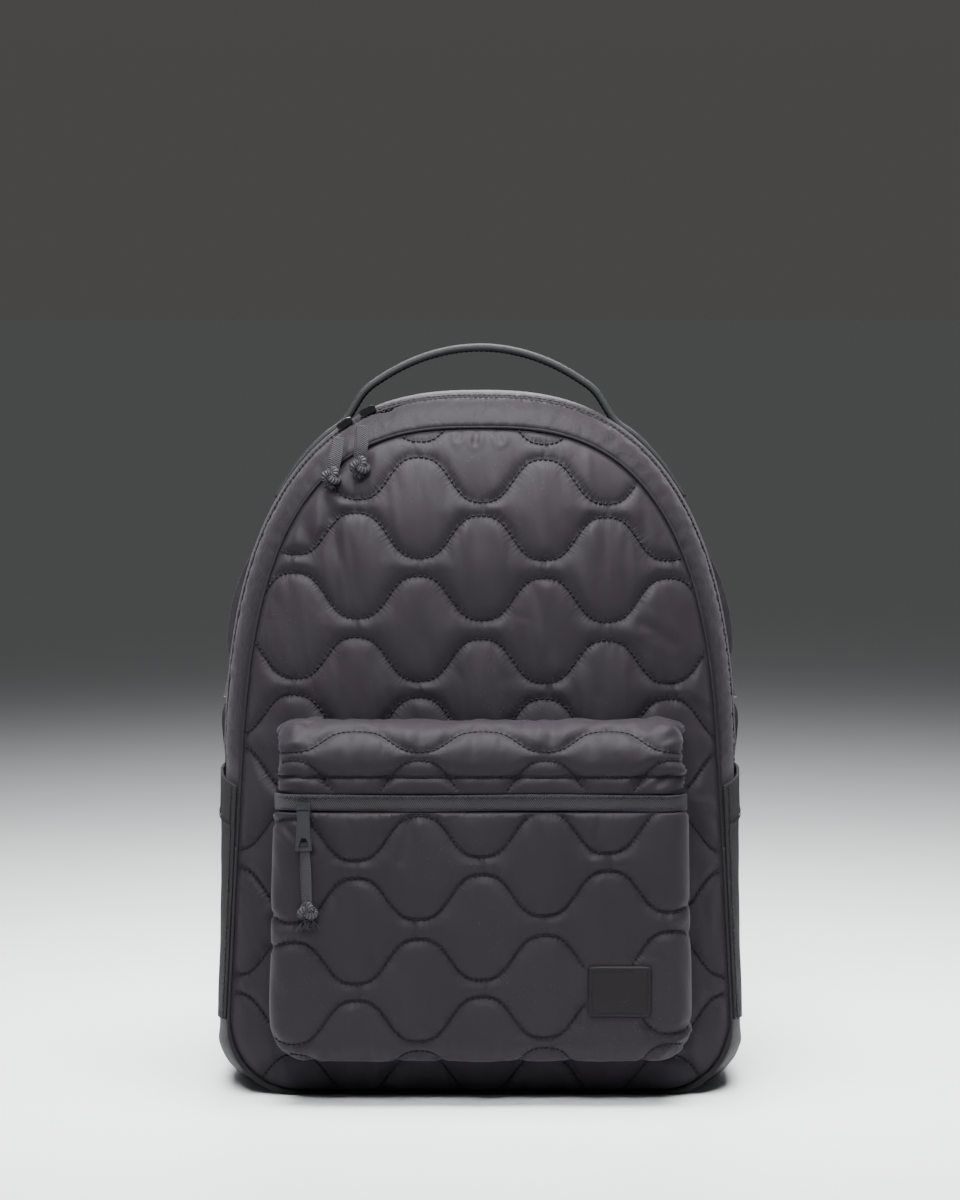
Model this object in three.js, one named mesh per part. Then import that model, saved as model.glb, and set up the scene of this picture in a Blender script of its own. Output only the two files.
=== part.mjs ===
// A quilted puffer day pack, standing on its base, in millimetres.
// +X is the wearer's left seen from the front (the right of a front view), +Y points to the
// wearer's back, +Z is up. The origin is on the floor, under the middle of the whole pack.
import * as THREE from "three";

// Driving sizes of the body.
const bodyWidth = 310;
const bodyHeight = 411;
const bodyDepth = 116;
const frontCorner = 48;
const gussetCorner = 37;
const frontInset = 6; // each side of the front seam, inside the zip line
const frontDrop = 16.5; // top of the front seam, below the top of the zip line
const backInset = 3;
const backDrop = 2;
const frontLean = 12; // how far the front seam leans back at its top
const backLean = 15; // how far the back seam leans forward at its top
const domeStart = 190; // height where the sides start to round over
const frontDomePower = 2.85;
const gussetDomePower = 2.6;
const zipShare = 0.3; // the zip line's place across the gusset, from the front seam
const zipEndHeight = 150; // where the main zip ends on each side, behind the side pocket

// Cloth and padding.
const clothWall = 2;
const baseWall = 3;
const panelWall = 3;
const seamGap = 0.35; // clearance between two pieces that are sewn together
const gussetRound = 2.5; // how far the gusset puffs out between its seams

// Front panel and its quilting.
const panelBulge = 18;
const panelBulgeReach = 85;
const panelBulgePower = 2.2; // how steeply the bulge rises from the rim
const puffHeight = 5;
const puffReach = 14;
const wavePitch = 73;
const waveRise = 12.6; // from a row's middle to its crest
const waveSquareness = 0.05;
const waveShift = 1; // sideways, from the middle of the pack
const rowPitch = 35;
const firstRow = 12.4;

// Front pocket.
const pocketWidth = 245;
const pocketTopWidth = 237;
const pocketFoot = 27;
const pocketTop = 222;
const pocketFace = 30; // from the front seam's plane at the floor to where the pocket's roll starts
const pocketRoll = 13;
const pocketCorner = 22;
const pocketShift = 0.5;
const pocketWall = 2.5;
const pocketPuff = 3.5;
const pocketRowTilt = 0.03;
const pocketRowPitch = 35.9;
const pocketFirstRow = 16.4;
const bandHeight = 9.4;
const bandFoot = 174;
const bandWall = 1.6;
const pocketZipTape = 1;
const sideInset = 0.3;
const sideWall = 1.2;

// Leather patch.
const patchWidth = 37;
const patchHeight = 29.7;
const patchWall = 1.4;
const patchAcross = 81;
const patchUp = 69;

// Zips, sliders and their pulls.
const zipTapeWidth = 15;
const zipTapeWall = 0.9;
const zipSink = 2.8; // the tape's outer face, below the cloth's outer face
const sliderLength = 10;
const sliderWidth = 8;
const sliderHeight = 4.2;
const sliderLift = 0.8; // above the cloth on either side of the zip
const pullerLength = 23;
const pullerWidth = 9.6;
const pullerWire = 1.5;
const pullerBar = 1.8;
const pocketPullAcross = -101.8;
const tapeWidth = 6.6;
const tapeWall = 2.2;
const knotWidth = 10.5;
const pullStand = 4.6; // from the quilting to the middle of a hanging pull
const pullTurn = 387; // height at which a main pull turns down over the front seam
const pullLie = 376; // and from which it lies on the quilting
const sliderNose = 0.62; // width of a slider's narrow end, as a share of its width

// The pocket's knotted tape, from the puller down: its drop, place across and stand-off.
const pocketPullRows = [
  { down: 15, across: 0.5, off: 3.2 },
  { down: 32, across: 0.6, off: 3.8 },
  { down: 47, across: 2.5, off: 3.2 },
];

// Side pockets.
const sidePocketFoot = 50;
const sidePocketTop = 188;
const sidePocketWall = 1.4;
const sidePocketHem = 27;
const hemWall = 2.2;
const mouthDent = 4.4; // the gusset is pressed in behind the pocket's mouth
const mouthBulge = 2.6;

// Carry handle.
const handleWidth = 24;
const handleWall = 5;
const handleRise = 31;
const handleSpan = 162;
const handleFoot = 62;
const handleDepthShare = 0.62;
const handleLift = 1.3; // over the puffed gusset
const handleSewn = 0.62; // share of a foot that is sewn down
const handlePress = 0.75; // the sewn foot lies this share of the loop's height
const handleSpring = 0.62; // below 1 the loop rises steeply from its feet

// Back panel and shoulder straps.
const backPad = 7;
const backPadEdge = 26;
const pipingWidth = 3;
const pipingWall = 2;
const strapBow = 26;
const padSettle = 0.5; // the pad's thinner top end lies this much closer to the back
const strapWall = 10;
const strapWidth = 62;
const strapTop = 372;
const strapEnd = 240;
const webWidth = 25;
const webWall = 1.6;
const lockWidth = 34;
const lockHeight = 23;
const lockWall = 4;
const lockBar = 5.2;
const lockPlay = 1.9; // from the pad's end, past the lock, to where the lower webbing starts
const anchorHeight = 34;
const webLead = 14; // the webbing leaves the lock straight for this length

const cloth = (color, roughness) =>
  new THREE.MeshStandardMaterial({ color, roughness, metalness: 0 });
const materials = {
  nylon: cloth(0x3f3b41, 0.55),
  canvas: cloth(0x2f2e31, 0.8),
  webbing: cloth(0x2b2a2d, 0.85),
  leather: cloth(0x2e2b2d, 0.5),
  mesh: cloth(0x29282b, 0.9),
  metal: new THREE.MeshStandardMaterial({
    color: 0x3a3b3e,
    roughness: 0.35,
    metalness: 0.9,
  }),
  plastic: new THREE.MeshStandardMaterial({
    color: 0x141517,
    roughness: 0.45,
    metalness: 0,
  }),
};

const root = new THREE.Group();
const pack = new THREE.Group(); // the pack in its own frame: y = 0 is halfway through the body
root.add(pack);

const lerp = THREE.MathUtils.lerp;
const clamp = THREE.MathUtils.clamp;
const smooth = (t) => THREE.MathUtils.smoothstep(t, 0, 1);
const spread = (count) => Array.from({ length: count + 1 }, (_, i) => i / count);
const v3 = (x, y, z) => new THREE.Vector3(x, y, z);

// Adds a closed triangle mesh, turned so that its faces point out.
function addSolid(name, material, points, triangles) {
  let volume = 0;
  for (const [a, b, c] of triangles)
    volume += points[a].dot(points[b].clone().cross(points[c]));
  const facing = volume < 0 ? triangles.map(([a, b, c]) => [a, c, b]) : triangles;
  const geometry = new THREE.BufferGeometry().setFromPoints(points);
  geometry.setIndex(facing.flat());
  geometry.computeVertexNormals();
  const mesh = new THREE.Mesh(geometry, materials[material]);
  mesh.name = name;
  pack.add(mesh);
  return mesh;
}

// Joins rings of equal length into one solid. A ring holds an even count of points: one face of
// the strip, then the other face backwards, so that an open end is closed like a ladder.
function addSweep(name, material, rings, { loop = false } = {}) {
  const size = rings[0].length;
  const triangles = [];
  const last = loop ? rings.length : rings.length - 1;
  for (let r = 0; r < last; r++) {
    const here = r * size;
    const next = ((r + 1) % rings.length) * size;
    for (let i = 0; i < size; i++) {
      const j = (i + 1) % size;
      triangles.push([here + i, here + j, next + j], [here + i, next + j, next + i]);
    }
  }
  if (!loop) {
    const end = (rings.length - 1) * size;
    for (let i = 0; i < size / 2 - 1; i++) {
      const far = size - 1 - i;
      triangles.push([i, far, far - 1], [i, far - 1, i + 1]);
      triangles.push([end + i, end + far - 1, end + far]);
      triangles.push([end + i, end + i + 1, end + far - 1]);
    }
  }
  return addSolid(name, material, rings.flat(), triangles);
}

// Delaunay triangles of points in a plane, each point { x, z }.
function triangulate(points) {
  const far = 1e6;
  const all = [...points, { x: -far, z: -far }, { x: far, z: -far }, { x: 0, z: far }];
  const count = points.length;
  const circle = (a, b, c) => {
    const [p, q, r] = [all[a], all[b], all[c]];
    const d = 2 * ((q.x - p.x) * (r.z - p.z) - (q.z - p.z) * (r.x - p.x));
    const qq = (q.x - p.x) ** 2 + (q.z - p.z) ** 2;
    const rr = (r.x - p.x) ** 2 + (r.z - p.z) ** 2;
    const x = ((r.z - p.z) * qq - (q.z - p.z) * rr) / d;
    const z = ((q.x - p.x) * rr - (r.x - p.x) * qq) / d;
    return { x: p.x + x, z: p.z + z, r2: x * x + z * z };
  };
  let triangles = [{ v: [count, count + 1, count + 2], c: circle(count, count + 1, count + 2) }];
  for (let i = 0; i < count; i++) {
    const { x, z } = all[i];
    const edges = new Map();
    const kept = [];
    for (const t of triangles) {
      if ((x - t.c.x) ** 2 + (z - t.c.z) ** 2 >= t.c.r2 * (1 - 1e-12)) {
        kept.push(t);
        continue;
      }
      for (let k = 0; k < 3; k++) {
        const [a, b] = [t.v[k], t.v[(k + 1) % 3]];
        const back = `${b},${a}`;
        if (edges.has(back)) edges.delete(back);
        else edges.set(`${a},${b}`, [a, b]);
      }
    }
    for (const [a, b] of edges.values()) kept.push({ v: [a, b, i], c: circle(a, b, i) });
    triangles = kept;
  }
  return triangles.map((t) => t.v).filter((v) => v.every((n) => n < count));
}

// A sheet between two faces over one convex outline. rim is its outline, seen from the front and
// counter-clockwise; front and back give each face's depth at a place { x, z }.
function addSheet(name, material, { rim, frontPoints, backPoints, front, back }) {
  const points = [];
  const triangles = [];
  const face = (places, depth, turned) => {
    const first = points.length;
    for (const p of places) points.push(v3(p.x, depth(p), p.z));
    for (const [a, b, c] of triangulate(places))
      triangles.push(
        turned ? [first + a, first + c, first + b] : [first + a, first + b, first + c],
      );
    return first;
  };
  const f = face([...rim, ...frontPoints], front, false);
  const b = face([...rim, ...backPoints], back, true);
  rim.forEach((_, i) => {
    const j = (i + 1) % rim.length;
    triangles.push([f + i, b + i, b + j], [f + i, b + j, f + j]);
  });
  return addSolid(name, material, points, triangles);
}

// Places on a hexagonal lattice inside a box, kept where keep(place) says so.
function lattice({ left, right, low, high }, step, keep) {
  const places = [];
  const rise = step * Math.sin(Math.PI / 3);
  for (let row = 0, z = low; z <= high; row++, z += rise)
    for (let x = left + (row % 2 ? step / 2 : 0); x <= right; x += step)
      if (keep({ x, z })) places.push({ x, z });
  return places;
}

// The same line with its points at equal steps of about the given length.
function stepAlong(line, step, closed = false) {
  const path = closed ? [...line, line[0]] : line;
  const lengths = [0];
  for (let i = 1; i < path.length; i++)
    lengths.push(lengths[i - 1] + Math.hypot(path[i].x - path[i - 1].x, path[i].z - path[i - 1].z));
  const total = lengths.at(-1);
  const count = Math.max(1, Math.round(total / step));
  const places = [];
  for (let k = 0, i = 1; k < count + (closed ? 0 : 1); k++) {
    const at = (total * k) / count;
    while (i < path.length - 1 && lengths[i] < at) i++;
    const t = (at - lengths[i - 1]) / (lengths[i] - lengths[i - 1] || 1);
    places.push({
      x: lerp(path[i - 1].x, path[i].x, t),
      z: lerp(path[i - 1].z, path[i].z, t),
    });
  }
  return places;
}

function distanceToLine(p, line, closed = false) {
  let best = Infinity;
  for (let i = closed ? 0 : 1; i < line.length; i++) {
    const a = line[(i + line.length - 1) % line.length];
    const b = line[i];
    const [dx, dz] = [b.x - a.x, b.z - a.z];
    const t = clamp(((p.x - a.x) * dx + (p.z - a.z) * dz) / (dx * dx + dz * dz || 1), 0, 1);
    best = Math.min(best, Math.hypot(p.x - a.x - t * dx, p.z - a.z - t * dz));
  }
  return best;
}

function inside(p, loop) {
  let crossings = 0;
  loop.forEach((a, i) => {
    const b = loop[(i + 1) % loop.length];
    if (a.z > p.z !== b.z > p.z && p.x < a.x + ((b.x - a.x) * (p.z - a.z)) / (b.z - a.z)) crossings++;
  });
  return crossings % 2 === 1;
}

// The body's three seams. Each is an arch that stands on the floor.
const seams = {
  front: {
    width: bodyWidth - 2 * frontInset,
    height: bodyHeight - frontDrop,
    taper: 0.125,
    corner: frontCorner,
    power: frontDomePower,
    foot: -bodyDepth / 2,
    head: -bodyDepth / 2 + frontLean,
  },
  zip: {
    width: bodyWidth,
    height: bodyHeight,
    taper: 0.06,
    corner: gussetCorner,
    power: gussetDomePower,
    foot: lerp(-bodyDepth / 2, bodyDepth / 2, zipShare),
    head: lerp(-bodyDepth / 2 + frontLean, bodyDepth / 2 - backLean, zipShare),
  },
  back: {
    width: bodyWidth - 2 * backInset,
    height: bodyHeight - backDrop,
    taper: 0.06,
    corner: gussetCorner,
    power: gussetDomePower,
    foot: bodyDepth / 2,
    head: bodyDepth / 2 - backLean,
  },
};
const leanPower = 2.2;
const seamDepth = (seam, z) =>
  lerp(seam.foot, seam.head, Math.pow(clamp(z / seam.height, 0, 1), leanPower));

// Half of a seam as a dense line, from the middle of the base round one corner to the top.
for (const seam of Object.values(seams)) {
  const half = seam.width / 2;
  const { corner, power } = seam;
  const flat = half - corner;
  const places = [
    ...spread(8).map((t) => ({ x: flat * t, z: 0 })),
    ...spread(24).map((t) => ({
      x: flat + corner * Math.sin((t * Math.PI) / 2),
      z: corner * (1 - Math.cos((t * Math.PI) / 2)),
    })),
    ...spread(16).map((t) => ({ x: half, z: lerp(corner, domeStart, t) })),
    ...spread(90).map((t) => ({
      x: half * Math.pow(Math.cos((t * Math.PI) / 2), 2 / power),
      z: domeStart + (seam.height - domeStart) * Math.pow(Math.sin((t * Math.PI) / 2), 2 / power),
    })),
  ];
  for (const p of places)
    p.x *= 1 - (seam.taper * Math.max(0, p.z - corner)) / (seam.height - corner);
  seam.line = places.filter(
    (p, i) => i === 0 || Math.hypot(p.x - places[i - 1].x, p.z - places[i - 1].z) > 1e-6,
  );
  seam.line.at(-1).x = 0;
  seam.reach = [0];
  for (let i = 1; i < seam.line.length; i++) {
    const [a, b] = [seam.line[i - 1], seam.line[i]];
    seam.reach.push(seam.reach[i - 1] + Math.hypot(b.x - a.x, b.z - a.z));
  }
}

// A place on a seam. at runs from 0 at the middle of the base to 1 at the top, and is negative
// on the other side.
function onSeam(seam, at) {
  const { line, reach } = seam;
  const wanted = Math.abs(at) * reach.at(-1);
  let i = 1;
  while (i < line.length - 1 && reach[i] < wanted) i++;
  const [a, b] = [line[i - 1], line[i]];
  const t = clamp((wanted - reach[i - 1]) / (reach[i] - reach[i - 1]), 0, 1);
  const side = at < 0 ? -1 : 1;
  const [dx, dz] = [b.x - a.x, b.z - a.z];
  const length = Math.hypot(dx, dz);
  const z = lerp(a.z, b.z, t);
  return {
    x: side * lerp(a.x, b.x, t),
    y: seamDepth(seam, z),
    z,
    nx: (side * dz) / length,
    nz: -dx / length,
  };
}

// Where on the zip line's seam the pack is this high.
function atHeight(height) {
  const { line, reach } = seams.zip;
  const i = line.findIndex((p) => p.z >= height);
  const t = (height - line[i - 1].z) / (line[i].z - line[i - 1].z);
  return lerp(reach[i - 1], reach[i], t) / reach.at(-1);
}

// A place on the gusset. across runs from 0 at the front seam to 1 at the back seam, and out is
// the distance outside the cloth's outer face.
function onGusset(at, across, out = 0, dented = true) {
  const rear = across > zipShare;
  const [near, far] = rear ? [seams.zip, seams.back] : [seams.front, seams.zip];
  const t = rear ? (across - zipShare) / (1 - zipShare) : across / zipShare;
  const [a, b] = [onSeam(near, at), onSeam(far, at)];
  const lead = rear ? 0 : panelWall + seamGap;
  const nx = lerp(a.nx, b.nx, t);
  const nz = lerp(a.nz, b.nz, t);
  const length = Math.hypot(nx, nz);
  const flatBase = smooth(1 + Math.min(0, nz) / length);
  const y = lerp(a.y + lead, b.y, t);
  const z = lerp(a.z, b.z, t);
  const dentAcross = (across - 0.62) / 0.24;
  const dentUp = (z - 0.87 * sidePocketTop) / (0.26 * sidePocketTop);
  const dent = dented ? mouthDent * Math.exp(-dentAcross * dentAcross - dentUp * dentUp) : 0;
  const offset = out + (gussetRound * 4 * t * (1 - t) - dent) * flatBase;
  return v3(lerp(a.x, b.x, t) + (nx / length) * offset, y, z + (nz / length) * offset);
}

// A strip of the gusset: its outer face, then its inner face backwards.
const gussetRing = (at, shares, sink, wall) => [
  ...shares.map((across) => onGusset(at, across, -sink)),
  ...[...shares].reverse().map((across) => onGusset(at, across, -sink - wall)),
];

const halfSteps = 34;
const frontShares = [0, 0.33, 0.67]; // across the zip flap, before its zip edge
const rearShares = [0.29, 0.57, 0.86, 1]; // across the rear gusset, after its zip edge
const flapAcross = frontShares.map((t) => t * zipShare);
const rearAcross = rearShares.map((t) => lerp(zipShare, 1, t));
const zipEnd = atHeight(zipEndHeight);
const endGap = seamGap / seams.zip.reach.at(-1);
// Stops along the gusset from one side over the top to the other side, for the zipped part.
function overTheTop(first) {
  const steps = Math.round(halfSteps * (1 - first));
  const right = spread(steps).map((t) => lerp(first, 1, t));
  const left = right.slice(0, -1).map((at) => -at);
  return [...right, ...left.reverse()];
}
const zippedStops = overTheTop(zipEnd);

// The zip line opens a little more where the two sliders meet.
const sliderAt = -atHeight(seams.zip.height * 0.965);
const pullPlaces = [
  ["low", 0.012, -87, 355],
  ["high", -0.012, -70, 364],
];
const gapeAt = (at) => 1 + 2.2 * Math.exp(-(((at - sliderAt) / 0.035) ** 2));
const gapeShare = 0.011;

addSweep(
  "zip_flap",
  "nylon",
  zippedStops.map((at) => {
    const edge = zipShare - gapeShare * gapeAt(at);
    return gussetRing(at, [...flapAcross, edge], 0, clothWall);
  }),
);
addSweep(
  "rear_gusset",
  "nylon",
  zippedStops.map((at) => gussetRing(at, [zipShare + gapeShare, ...rearAcross], 0, clothWall)),
);
addSweep(
  "main_zip_tape",
  "webbing",
  overTheTop(zipEnd + 4 * endGap).map((at) => {
    const half = zipTapeWidth / 2 / bodyDepth;
    return gussetRing(at, [zipShare - half, zipShare + half], zipSink, zipTapeWall);
  }),
);
// Stops round the base: close together on the corners, and wide apart where it is straight.
const flatEnd = (bodyWidth / 2 - gussetCorner) / seams.zip.reach.at(-1);
const cornerEnd = flatEnd + (gussetCorner * Math.PI) / 2 / seams.zip.reach.at(-1);
const baseSide = [
  ...spread(2).map((t) => lerp(0, flatEnd, t)),
  ...spread(6).map((t) => lerp(flatEnd, cornerEnd, t)),
  ...spread(4).map((t) => lerp(cornerEnd, zipEnd - endGap, t)),
].filter((at, i, all) => i === 0 || at > all[i - 1] + 1e-9);
const baseStops = [...baseSide.slice(1).map((at) => -at).reverse(), ...baseSide];
addSweep(
  "base_gusset",
  "nylon",
  baseStops.map((at) => gussetRing(at, [...flapAcross, zipShare, ...rearAcross], 0, baseWall)),
);

// The quilting: rows of waves that mirror each other from row to row.
const waveShape = (turn) =>
  (Math.cos(turn) - waveSquareness * Math.cos(3 * turn)) / (1 - waveSquareness);
function waveRow(height, sign, { left, right, tilt }) {
  const count = 96;
  return spread(count).map((t) => {
    const x = lerp(left, right, t);
    const turn = (2 * Math.PI * (x - waveShift)) / wavePitch;
    return { x, z: height + tilt * x + sign * waveRise * waveShape(turn) };
  });
}

// How far a quilted face stands out at a place: full between the rows, nothing on a stitch.
const pillow = (distance, reach) => 1 - (1 - clamp(distance / reach, 0, 1)) ** 2;

const fullLoop = (seam, steps) => {
  const right = spread(steps).map((t) => onSeam(seam, t));
  const left = right.slice(1, -1).map((p) => ({ ...p, x: -p.x, nx: -p.nx }));
  return [...right, ...left.reverse()];
};
const panelRim = fullLoop(seams.front, halfSteps);
// The same outline, this far inside itself.
const rimInside = (rim, distance) =>
  rim.map((p, i) => {
    const a = rim[(i + rim.length - 1) % rim.length];
    const b = rim[(i + 1) % rim.length];
    const length = Math.hypot(b.x - a.x, b.z - a.z);
    return {
      x: p.x - (distance * (b.z - a.z)) / length,
      z: p.z + (distance * (b.x - a.x)) / length,
    };
  });

// The pocket's outline on the front panel, from its top left round the base to its top right.
const pocketHalf = (z) =>
  lerp(pocketWidth, pocketTopWidth, clamp((z - pocketFoot) / (pocketTop - pocketFoot), 0, 1)) / 2;
const edgeBow = 0.4; // a straight edge of the pocket stands out this much at its middle
function pocketOutline(top, topCorner) {
  const corner = (centreX, centreZ, radius, from, steps) =>
    spread(steps).map((t) => {
      const turn = ((from + 90 * t) * Math.PI) / 180;
      return { x: centreX + radius * Math.cos(turn), z: centreZ + radius * Math.sin(turn) };
    });
  const low = pocketHalf(pocketFoot) - pocketCorner;
  const high = pocketHalf(top) - topCorner;
  const lowZ = pocketFoot + pocketCorner;
  const highZ = top - topCorner;
  const sideSteps = spread(8).slice(1, -1);
  const bow = (t) => edgeBow * 4 * t * (1 - t);
  const side = (sign) =>
    sideSteps.map((t) => ({
      x: sign * (lerp(low + pocketCorner, high + topCorner, t) + bow(t)),
      z: lerp(lowZ, highZ, t),
    }));
  const loop = [
    ...spread(12).map((t) => ({ x: lerp(-low, low, t), z: pocketFoot - bow(t) })),
    ...corner(low, lowZ, pocketCorner, -90, 5).slice(1),
    ...side(1),
    ...corner(high, highZ, topCorner, 0, 3),
    ...spread(12)
      .slice(1, -1)
      .map((t) => ({ x: lerp(high, -high, t), z: top + bow(t) })),
    ...corner(-high, highZ, topCorner, 90, 3),
    ...side(-1).reverse(),
    ...corner(-low, lowZ, pocketCorner, 180, 5).slice(0, -1),
  ];
  return loop.map((p) => ({ x: p.x + pocketShift, z: p.z }));
}
const topCorner = 14;
const pocketLoop = pocketOutline(pocketTop, topCorner);

const seamMargin = pipingWidth + 0.6; // flat under the binding
// The front panel's smooth face, without its quilting, at a place { x, z }.
const panelFace = (p) => {
  const room = distanceToLine(p, panelRim, true) - seamMargin;
  const rise = 1 - (1 - clamp(room / panelBulgeReach, 0, 1)) ** panelBulgePower;
  return seamDepth(seams.front, p.z) - panelBulge * rise;
};
const rowCount = Math.floor((seams.front.height - firstRow) / rowPitch) + 1;
const panelRows = spread(rowCount).map((_, i) => {
  const height = firstRow + rowPitch * i;
  const top = height / seams.front.height;
  const drawnIn = 6 * smooth((top - 0.82) / 0.18);
  return waveRow(height - drawnIn, i % 2 ? 1 : -1, {
    left: -bodyWidth / 2,
    right: bodyWidth / 2,
    tilt: -0.02 * top,
  });
});
const panelPuff = (p) => {
  if (inside(p, pocketLoop)) return 0;
  const stitched = Math.min(...panelRows.map((row) => distanceToLine(p, row)));
  const sewn = Math.min(
    distanceToLine(p, panelRim, true) - seamMargin,
    distanceToLine(p, pocketLoop, true),
  );
  return puffHeight * pillow(stitched, puffReach) * pillow(sewn, puffReach * 0.6);
};

// Points that a quilted face needs: on its stitch rows, and on a lattice between them.
function quiltPoints(rows, { step, clear, room }) {
  const onRows = rows.flatMap((row) => stepAlong(row, step).filter((p) => room(p) > clear));
  const between = lattice(
    { left: -bodyWidth / 2, right: bodyWidth / 2, low: 0, high: bodyHeight },
    step,
    (p) => room(p) > clear && Math.min(...rows.map((row) => distanceToLine(p, row))) > step * 0.52,
  );
  return [...onRows, ...between];
}
const panelRoom = (p) => {
  if (!inside(p, panelRim) || inside(p, pocketLoop)) return -1;
  return Math.min(distanceToLine(p, panelRim, true) - 5, distanceToLine(p, pocketLoop, true));
};
const quiltStep = 10.2;
const coarseStep = 30;
const panelCoarse = lattice(
  { left: -bodyWidth / 2, right: bodyWidth / 2, low: 0, high: bodyHeight },
  coarseStep,
  (p) => inside(p, panelRim) && distanceToLine(p, panelRim, true) > coarseStep / 2,
);
addSheet("front_panel", "nylon", {
  rim: panelRim,
  frontPoints: [
    ...rimInside(panelRim, seamMargin),
    ...pocketLoop,
    ...quiltPoints(panelRows, { step: quiltStep, clear: 7, room: panelRoom }),
    ...panelCoarse.filter((p) => inside(p, pocketLoop) && distanceToLine(p, pocketLoop, true) > 12),
  ],
  backPoints: panelCoarse,
  front: (p) => panelFace(p) - panelPuff(p),
  back: (p) => panelFace(p) + panelWall,
});

// The pocket's front piece rolls back at its sides and its base.
const pocketFlat = -bodyDepth / 2 - pocketFace;
const faceTop = bandFoot - seamGap - edgeBow;
const faceLoop = pocketOutline(faceTop, 3);
const faceRollRoom = (p) => {
  const open = faceLoop.map((q) => (q.z > faceTop - 4 ? { x: q.x, z: q.z + bodyHeight } : q));
  return distanceToLine(p, open, true);
};
const rollShape = (room) => Math.sqrt(1 - (1 - clamp(room / pocketRoll, 0, 1)) ** 2);
const pocketSmooth = (p) => pocketFlat - pocketRoll * rollShape(faceRollRoom(p));
const pocketRows = spread(4).map((_, i) =>
  waveRow(pocketFirstRow + pocketRowPitch * i, i % 2 ? 1 : -1, {
    left: -pocketWidth / 2,
    right: pocketWidth / 2 + pocketShift,
    tilt: pocketRowTilt,
  }),
);
const pocketPuffAt = (p) => {
  const stitched = Math.min(...pocketRows.map((row) => distanceToLine(p, row)));
  return pocketPuff * pillow(stitched, puffReach) * pillow(faceRollRoom(p), puffReach);
};
const patchHole = (p, margin) =>
  Math.abs(p.x - patchAcross) < patchWidth / 2 + margin &&
  Math.abs(p.z - patchUp) < patchHeight / 2 + margin;
const patchCorners = [
  [-1, -1],
  [1, -1],
  [1, 1],
  [-1, 1],
].map(([sx, sz]) => ({
  x: patchAcross + (sx * patchWidth) / 2,
  z: patchUp + (sz * patchHeight) / 2,
}));
const patchRim = stepAlong(patchCorners, patchHeight / 3, true);
// Under the patch the quilting is pressed flat.
const patchSeat = pocketFlat - pocketRoll - pocketPuff * 0.6;
const pocketFaceAt = (p) =>
  patchHole(p, 1) ? patchSeat : pocketSmooth(p) - pocketPuffAt(p);
const faceRoom = (p) =>
  inside(p, faceLoop) && !patchHole(p, 4) ? distanceToLine(p, faceLoop, true) : -1;
addSheet("pocket_front", "nylon", {
  rim: faceLoop,
  frontPoints: [
    ...stepAlong(rimInside(faceLoop, 2), 13, true),
    ...stepAlong(rimInside(faceLoop, 6.5), 13, true),
    ...patchRim,
    ...quiltPoints(pocketRows, { step: quiltStep, clear: 9, room: faceRoom }),
  ],
  backPoints: [
    ...stepAlong(rimInside(faceLoop, 5), 20, true),
    ...lattice(
      { left: -pocketWidth / 2, right: pocketWidth / 2, low: pocketFoot, high: faceTop },
      coarseStep,
      (p) => inside(p, faceLoop) && distanceToLine(p, faceLoop, true) > 11,
    ),
  ],
  front: pocketFaceAt,
  back: (p) => pocketSmooth(p) + pocketWall,
});
addSheet("leather_patch", "leather", {
  rim: patchRim,
  frontPoints: [],
  backPoints: [],
  front: () => patchSeat - seamGap - patchWall,
  back: () => patchSeat - seamGap,
});

// The pocket's top piece, in section from the front panel over to the zip band. out is how far
// it stands off the panel, and up its height, each as a share.
const topProfile = [
  { out: 0.0, up: 1.0 },
  { out: 0.4, up: 0.98 },
  { out: 0.74, up: 0.88 },
  { out: 0.95, up: 0.68 },
  { out: 1.0, up: 0.45 },
  { out: 0.93, up: 0.25 },
  { out: 0.98, up: 0.12 },
  { out: 0.98, up: 0.0 },
];
const topFoot = bandFoot + bandHeight + seamGap;
const topFront = pocketFlat - pocketRoll + 1;
// How far round a pocket end has rolled, from 1 along the piece to 0 at its very end.
const endRoll = (across) => {
  const into = (Math.abs(across) - 0.88) / 0.12;
  return Math.sqrt(1 - clamp(into, 0, 1) ** 2);
};
function onPocketTop(across, along, sink) {
  const place = along * (topProfile.length - 1);
  const i = Math.min(Math.floor(place), topProfile.length - 2);
  const t = place - i;
  const [a, b] = [topProfile[i], topProfile[i + 1]];
  const z = lerp(topFoot, pocketTop, lerp(a.up, b.up, t));
  const x = pocketShift + across * pocketHalf(z);
  const intoCorner = clamp(1 - (1 - Math.abs(across)) * (pocketHalf(z) / topCorner), 0, 1);
  const drop = topCorner * (1 - Math.sqrt(1 - intoCorner ** 2)) * lerp(a.up, b.up, t) ** 2;
  const rear = panelFace({ x, z: pocketTop - drop }) - seamGap;
  const roll = lerp(0.62, 1, endRoll(across));
  const y = lerp(rear, topFront, lerp(a.out, b.out, t) * roll);
  const dy = -(b.up - a.up) * (pocketTop - topFoot);
  const dz = (b.out - a.out) * (topFront - rear);
  const length = Math.hypot(dy, dz);
  return v3(x, y + (dy / length) * sink, z - drop + (dz / length) * sink);
}
const topEnd = 0.985; // the top piece ends this far out, inside the pocket's side
const topShares = spread(10);
const topRings = spread(20).map((t) => Math.sin(((2 * t - 1) * Math.PI) / 2) * topEnd);
addSweep(
  "pocket_top",
  "nylon",
  topRings.map((across) => [
    ...topShares.map((along) => onPocketTop(across, along, 0)),
    ...[...topShares].reverse().map((along) => onPocketTop(across, along, pocketWall)),
  ]),
);

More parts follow.
